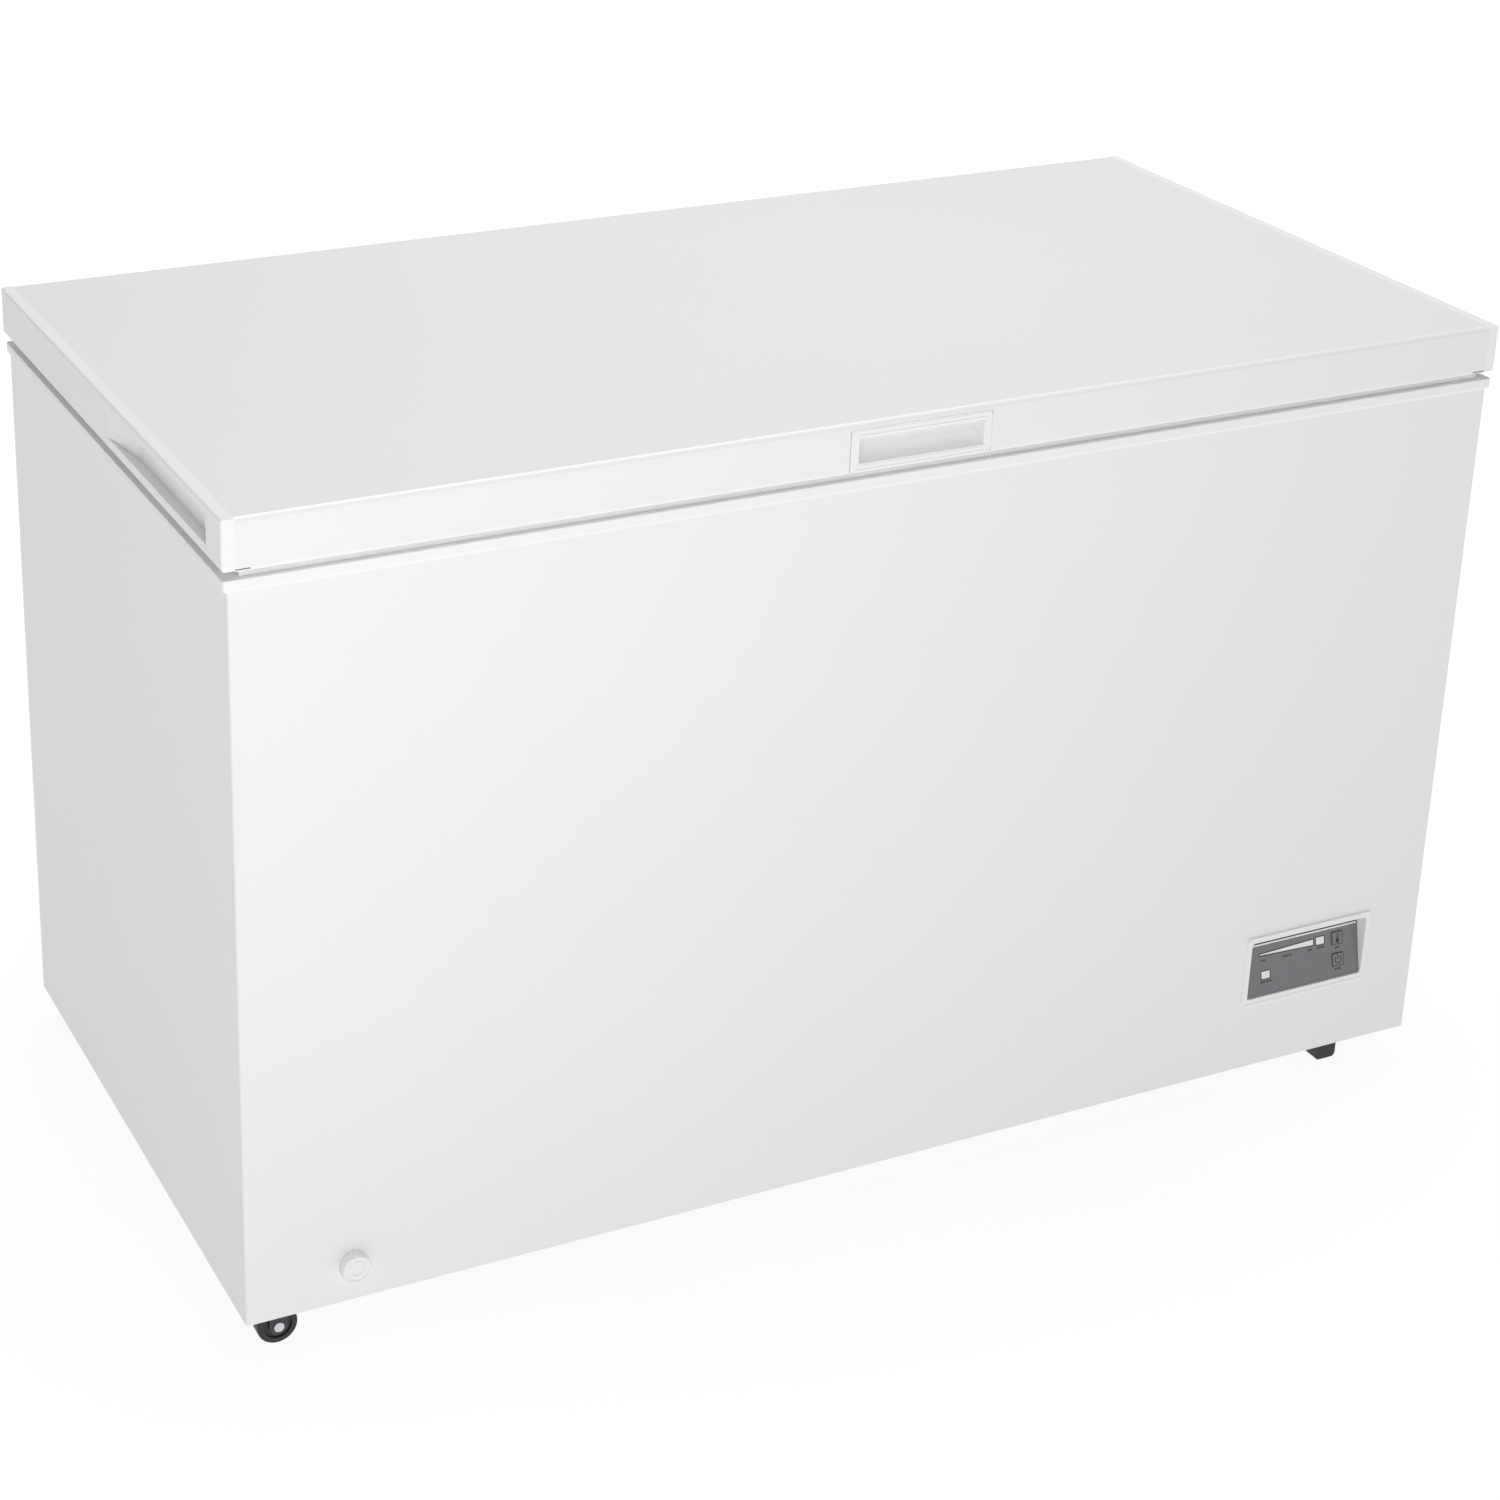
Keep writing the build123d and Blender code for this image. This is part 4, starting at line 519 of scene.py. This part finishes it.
key_face = 1.0
print_top = key_face + skin
bulb_top = key_face + 1.5 * skin
for key, centre in (("set_button", (46.5, 9.3)), ("power_button", (46.5, -14.7))):
    cu, cv = centre
    marks = on_panel()
    key_edge = rounded(centre, 14.3, 14.3, 1.55)
    marks.ring(key_edge, rounded(centre, 12.7, 12.7, 0.8), key_face, print_top)
    if key == "set_button":
        stem = (cu, cv + 1.2)
        marks.ring(rounded(stem, 3.0, 7.6, 1.45), rounded(stem, 1.9, 6.5, 0.9), key_face, print_top)
        marks.slab(circle((cu, cv - 3.0), 2.5, 24), key_face, bulb_top)
        marks.slab(rounded(centre, 0.8, 5.4, 0.3, 2), key_face, bulb_top)
        for tick in range(3):
            marks.slab(rounded((cu + 3.0, cv + 0.6 + 1.6 * tick), 1.8, 0.5, 0.2, 2), key_face, print_top)
    else:
        open_ring = arc(centre, 4.6, 125, 415, 28) + arc(centre, 3.5, 415, 125, 28)
        marks.slab(open_ring, key_face, print_top)
        marks.slab(rounded((cu, cv + 3.0), 1.1, 5.2, 0.4, 2), key_face, print_top)
    marks.piece(key + "_marks", key, "black_plastic", ink_and_painted_shade)

# Gasket: fine pleats round its outer wall
gasket_low, gasket_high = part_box("lid_gasket")
pleats = bmesh.new()
gasket_middle = (gasket_low + gasket_high) / 2
pleat_radius = 0.7
first_pleat, pleat_step, pleat_count = 1.6, 2.1, 3
gasket_corner = 6
width = (gasket_high.x - gasket_low.x) / MM - pleat_radius
depth = (gasket_high.y - gasket_low.y) / MM - pleat_radius
loop = rounded((gasket_middle.x / MM, gasket_middle.y / MM), width, depth, gasket_corner)
for step in range(pleat_count):
    height = gasket_low.z + (first_pleat + pleat_step * step) * MM
    bead(pleats, [Vector((u * MM, v * MM, height)) for u, v in loop], pleat_radius * MM)
as_piece(pleats, "gasket_pleats", "lid", finishes["gasket_rubber"])

# Panel bezel: a fine raised rim near its outer edge
bezel_low, bezel_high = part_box("panel_bezel")
bezel_middle = ((bezel_low.x + bezel_high.x) / 2, bezel_low.y, (bezel_low.z + bezel_high.z) / 2)
bezel_wide, bezel_tall = (bezel_high.x - bezel_low.x) / MM, (bezel_high.z - bezel_low.z) / MM
rim = Sketch(bezel_middle, (1, 0, 0), (0, 0, 1))
rim_outer = rounded((0, 0), bezel_wide - 0.8, bezel_tall - 0.8, 4.6)
rim.ring(rim_outer, rounded((0, 0), bezel_wide - 2.4, bezel_tall - 2.4, 3.8), -0.2, 0.5)
rim.piece("bezel_rim", "cabinet", "white_plastic", finishes["white_plastic"])

# Handle: a fine raised line inside the edge of its bezel, and another round the pocket
handle_low, handle_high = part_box("lid_handle")
handle_middle = ((handle_low.x + handle_high.x) / 2, handle_low.y, (handle_low.z + handle_high.z) / 2)
handle_wide = (handle_high.x - handle_low.x) / MM
handle_tall = (handle_high.z - handle_low.z) / MM
border = Sketch(handle_middle, (1, 0, 0), (0, 0, 1))
for inset, radius in ((1.6, 4.5), (5.6, 2.5)):
    width, height = handle_wide - 2 * inset, handle_tall - 2 * inset
    border.ring(
        rounded((0, 0), width, height, radius),
        rounded((0, 0), width - 1.0, height - 1.0, radius - 0.5),
        -0.2,
        0.6,
    )
border.piece("handle_border", "lid", "white_plastic", finishes["white_plastic"])

# Shade in the joint round the handle's bezel
joint_line = Sketch(handle_middle, (1, 0, 0), (0, 0, 1))
joint_line.ring(
    rounded((0, 0), handle_wide + 1.1, handle_tall, 1.5),
    rounded((0, 0), handle_wide - 0.1, handle_tall - 0.1, 1.2),
    -1.2,
    -0.9,
)
joint_line.piece("handle_joint", "lid", "white_plastic", seam_shadow)

# Shade in the joints between the lid's skin and its end caps, over the top and down the front
lid_low, lid_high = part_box("lid_outer_panel")
seam_width, seam_sink, seam_foot = 0.7, 0.12, 0.6
for side, name in ((-1, "left"), (1, "right")):
    seam_x = side * (lid_high.x / MM)
    top_seam = Sketch((0, 0, lid_high.z), (1, 0, 0), (0, 1, 0))
    length = (lid_high.y - lid_low.y) / MM - 10
    top_seam.slab(rounded((seam_x, 0), seam_width, length, 0.2, 2), -seam_foot, -seam_sink)
    top_seam.piece(name + "_top_seam", "lid", "white_plastic", seam_shadow)
    front_seam = Sketch((0, lid_low.y, 0), (1, 0, 0), (0, 0, 1))
    middle_z = (lid_low.z + lid_high.z) / 2 / MM
    height = (lid_high.z - lid_low.z) / MM - 6
    front_seam.slab(rounded((seam_x, middle_z), seam_width, height, 0.2, 2), -seam_foot, -seam_sink)
    front_seam.piece(name + "_front_seam", "lid", "white_plastic", seam_shadow)

# The pocket's floor rises to the back and its back leans forward again towards the top
pocket_half, pocket_low, pocket_high, pocket_depth = 66.7, 7.6, 32.4, 19.9
scoop = Sketch((handle_middle[0] + pocket_half * MM, handle_low.y, handle_low.z), (0, 1, 0), (0, 0, 1))
floor_line = [(1.2, pocket_low), (pocket_depth, pocket_low), (pocket_depth, 19.0)]
floor_line += [(16.6, 17.4), (9.0, 12.2), (1.8, 8.2)]
back_line = [(pocket_depth, 20.0), (pocket_depth, pocket_high), (9.0, pocket_high)]
back_line += [(12.0, 28.0), (16.2, 23.0)]
for outline in (floor_line, back_line):
    scoop.slab(outline, -2 * pocket_half, 0)
scoop.piece("handle_scoop", "lid", "white_plastic", finishes["white_plastic"])

# Floor
floor_mesh = bpy.data.meshes.new("studio_floor")
reach = 40.0
corners = [(-reach, -reach, 0), (reach, -reach, 0), (reach, reach, 0), (-reach, reach, 0)]
floor_mesh.from_pydata(corners, [], [(0, 1, 2, 3)])
floor = bpy.data.objects.new("studio_floor", floor_mesh)
bpy.context.scene.collection.objects.link(floor)
floor_mesh.materials.append(floor_paint())

# Light: a pale world and two large soft boxes, the brighter one in front on the left
world = bpy.data.worlds.new("studio")
bpy.context.scene.world = world
world.use_nodes = True
tree = world.node_tree
ambient = tree.nodes["Background"]
ambient.inputs["Color"].default_value = (0.97, 0.98, 1.0, 1)
ambient.inputs["Strength"].default_value = 0.3
backdrop = tree.nodes.new("ShaderNodeBackground")
backdrop.inputs["Color"].default_value = (1, 1, 1, 1)
backdrop.inputs["Strength"].default_value = 1.0
rays = tree.nodes.new("ShaderNodeLightPath")
pick = tree.nodes.new("ShaderNodeMixShader")
tree.links.new(rays.outputs["Is Camera Ray"], pick.inputs["Fac"])
tree.links.new(ambient.outputs["Background"], pick.inputs[1])
tree.links.new(backdrop.outputs["Background"], pick.inputs[2])
tree.links.new(pick.outputs["Shader"], tree.nodes["World Output"].inputs["Surface"])


def soft_box(name, place, target, size, power):
    """A square area light at a place, facing a point."""
    data = bpy.data.lights.new(name, "AREA")
    data.shape = "SQUARE"
    data.size = size
    data.energy = power
    lamp = bpy.data.objects.new(name, data)
    lamp.location = place
    lamp.visible_camera = False
    lamp.rotation_euler = (Vector(target) - Vector(place)).to_track_quat("-Z", "Y").to_euler()
    bpy.context.scene.collection.objects.link(lamp)


soft_box("front_box", (-1.1, -2.4, 1.35), (-0.5, -0.3, 0.5), 1.2, 24)
soft_box("top_box", (0.4, 0.5, 3.6), (0, 0, 0.8), 2.4, 72)

# Camera, placed from the middle of the lid's front edge
lid_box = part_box("lid_outer_panel")
lid_front_y = lid_box[0].y
camera_data = bpy.data.cameras.new("camera")
camera = bpy.data.objects.new("camera", camera_data)
bpy.context.scene.collection.objects.link(camera)
bpy.context.scene.camera = camera
camera_data.sensor_width = 36.0
camera_data.lens = 75.65
camera_data.shift_x = 0.1107
camera_data.shift_y = -0.1667
camera_data.clip_end = 200
yaw, pitch, roll = radians(25.51), radians(21.76), radians(1.08)
camera.location = (-1.446, lid_front_y - 2.319, 1.838)
forward = Vector((sin(yaw) * cos(pitch), cos(yaw) * cos(pitch), -sin(pitch)))
level = Vector((cos(yaw), -sin(yaw), 0))
upright = level.cross(forward)
right = cos(roll) * level + sin(roll) * upright
up = -sin(roll) * level + cos(roll) * upright
axes = Matrix((right, up, -forward)).transposed().to_4x4()
camera.matrix_world = Matrix.Translation(camera.location) @ axes

view = bpy.context.scene.view_settings
view.view_transform = "Standard"
view.look = "None"
view.exposure = 0.0
view.gamma = 1.0
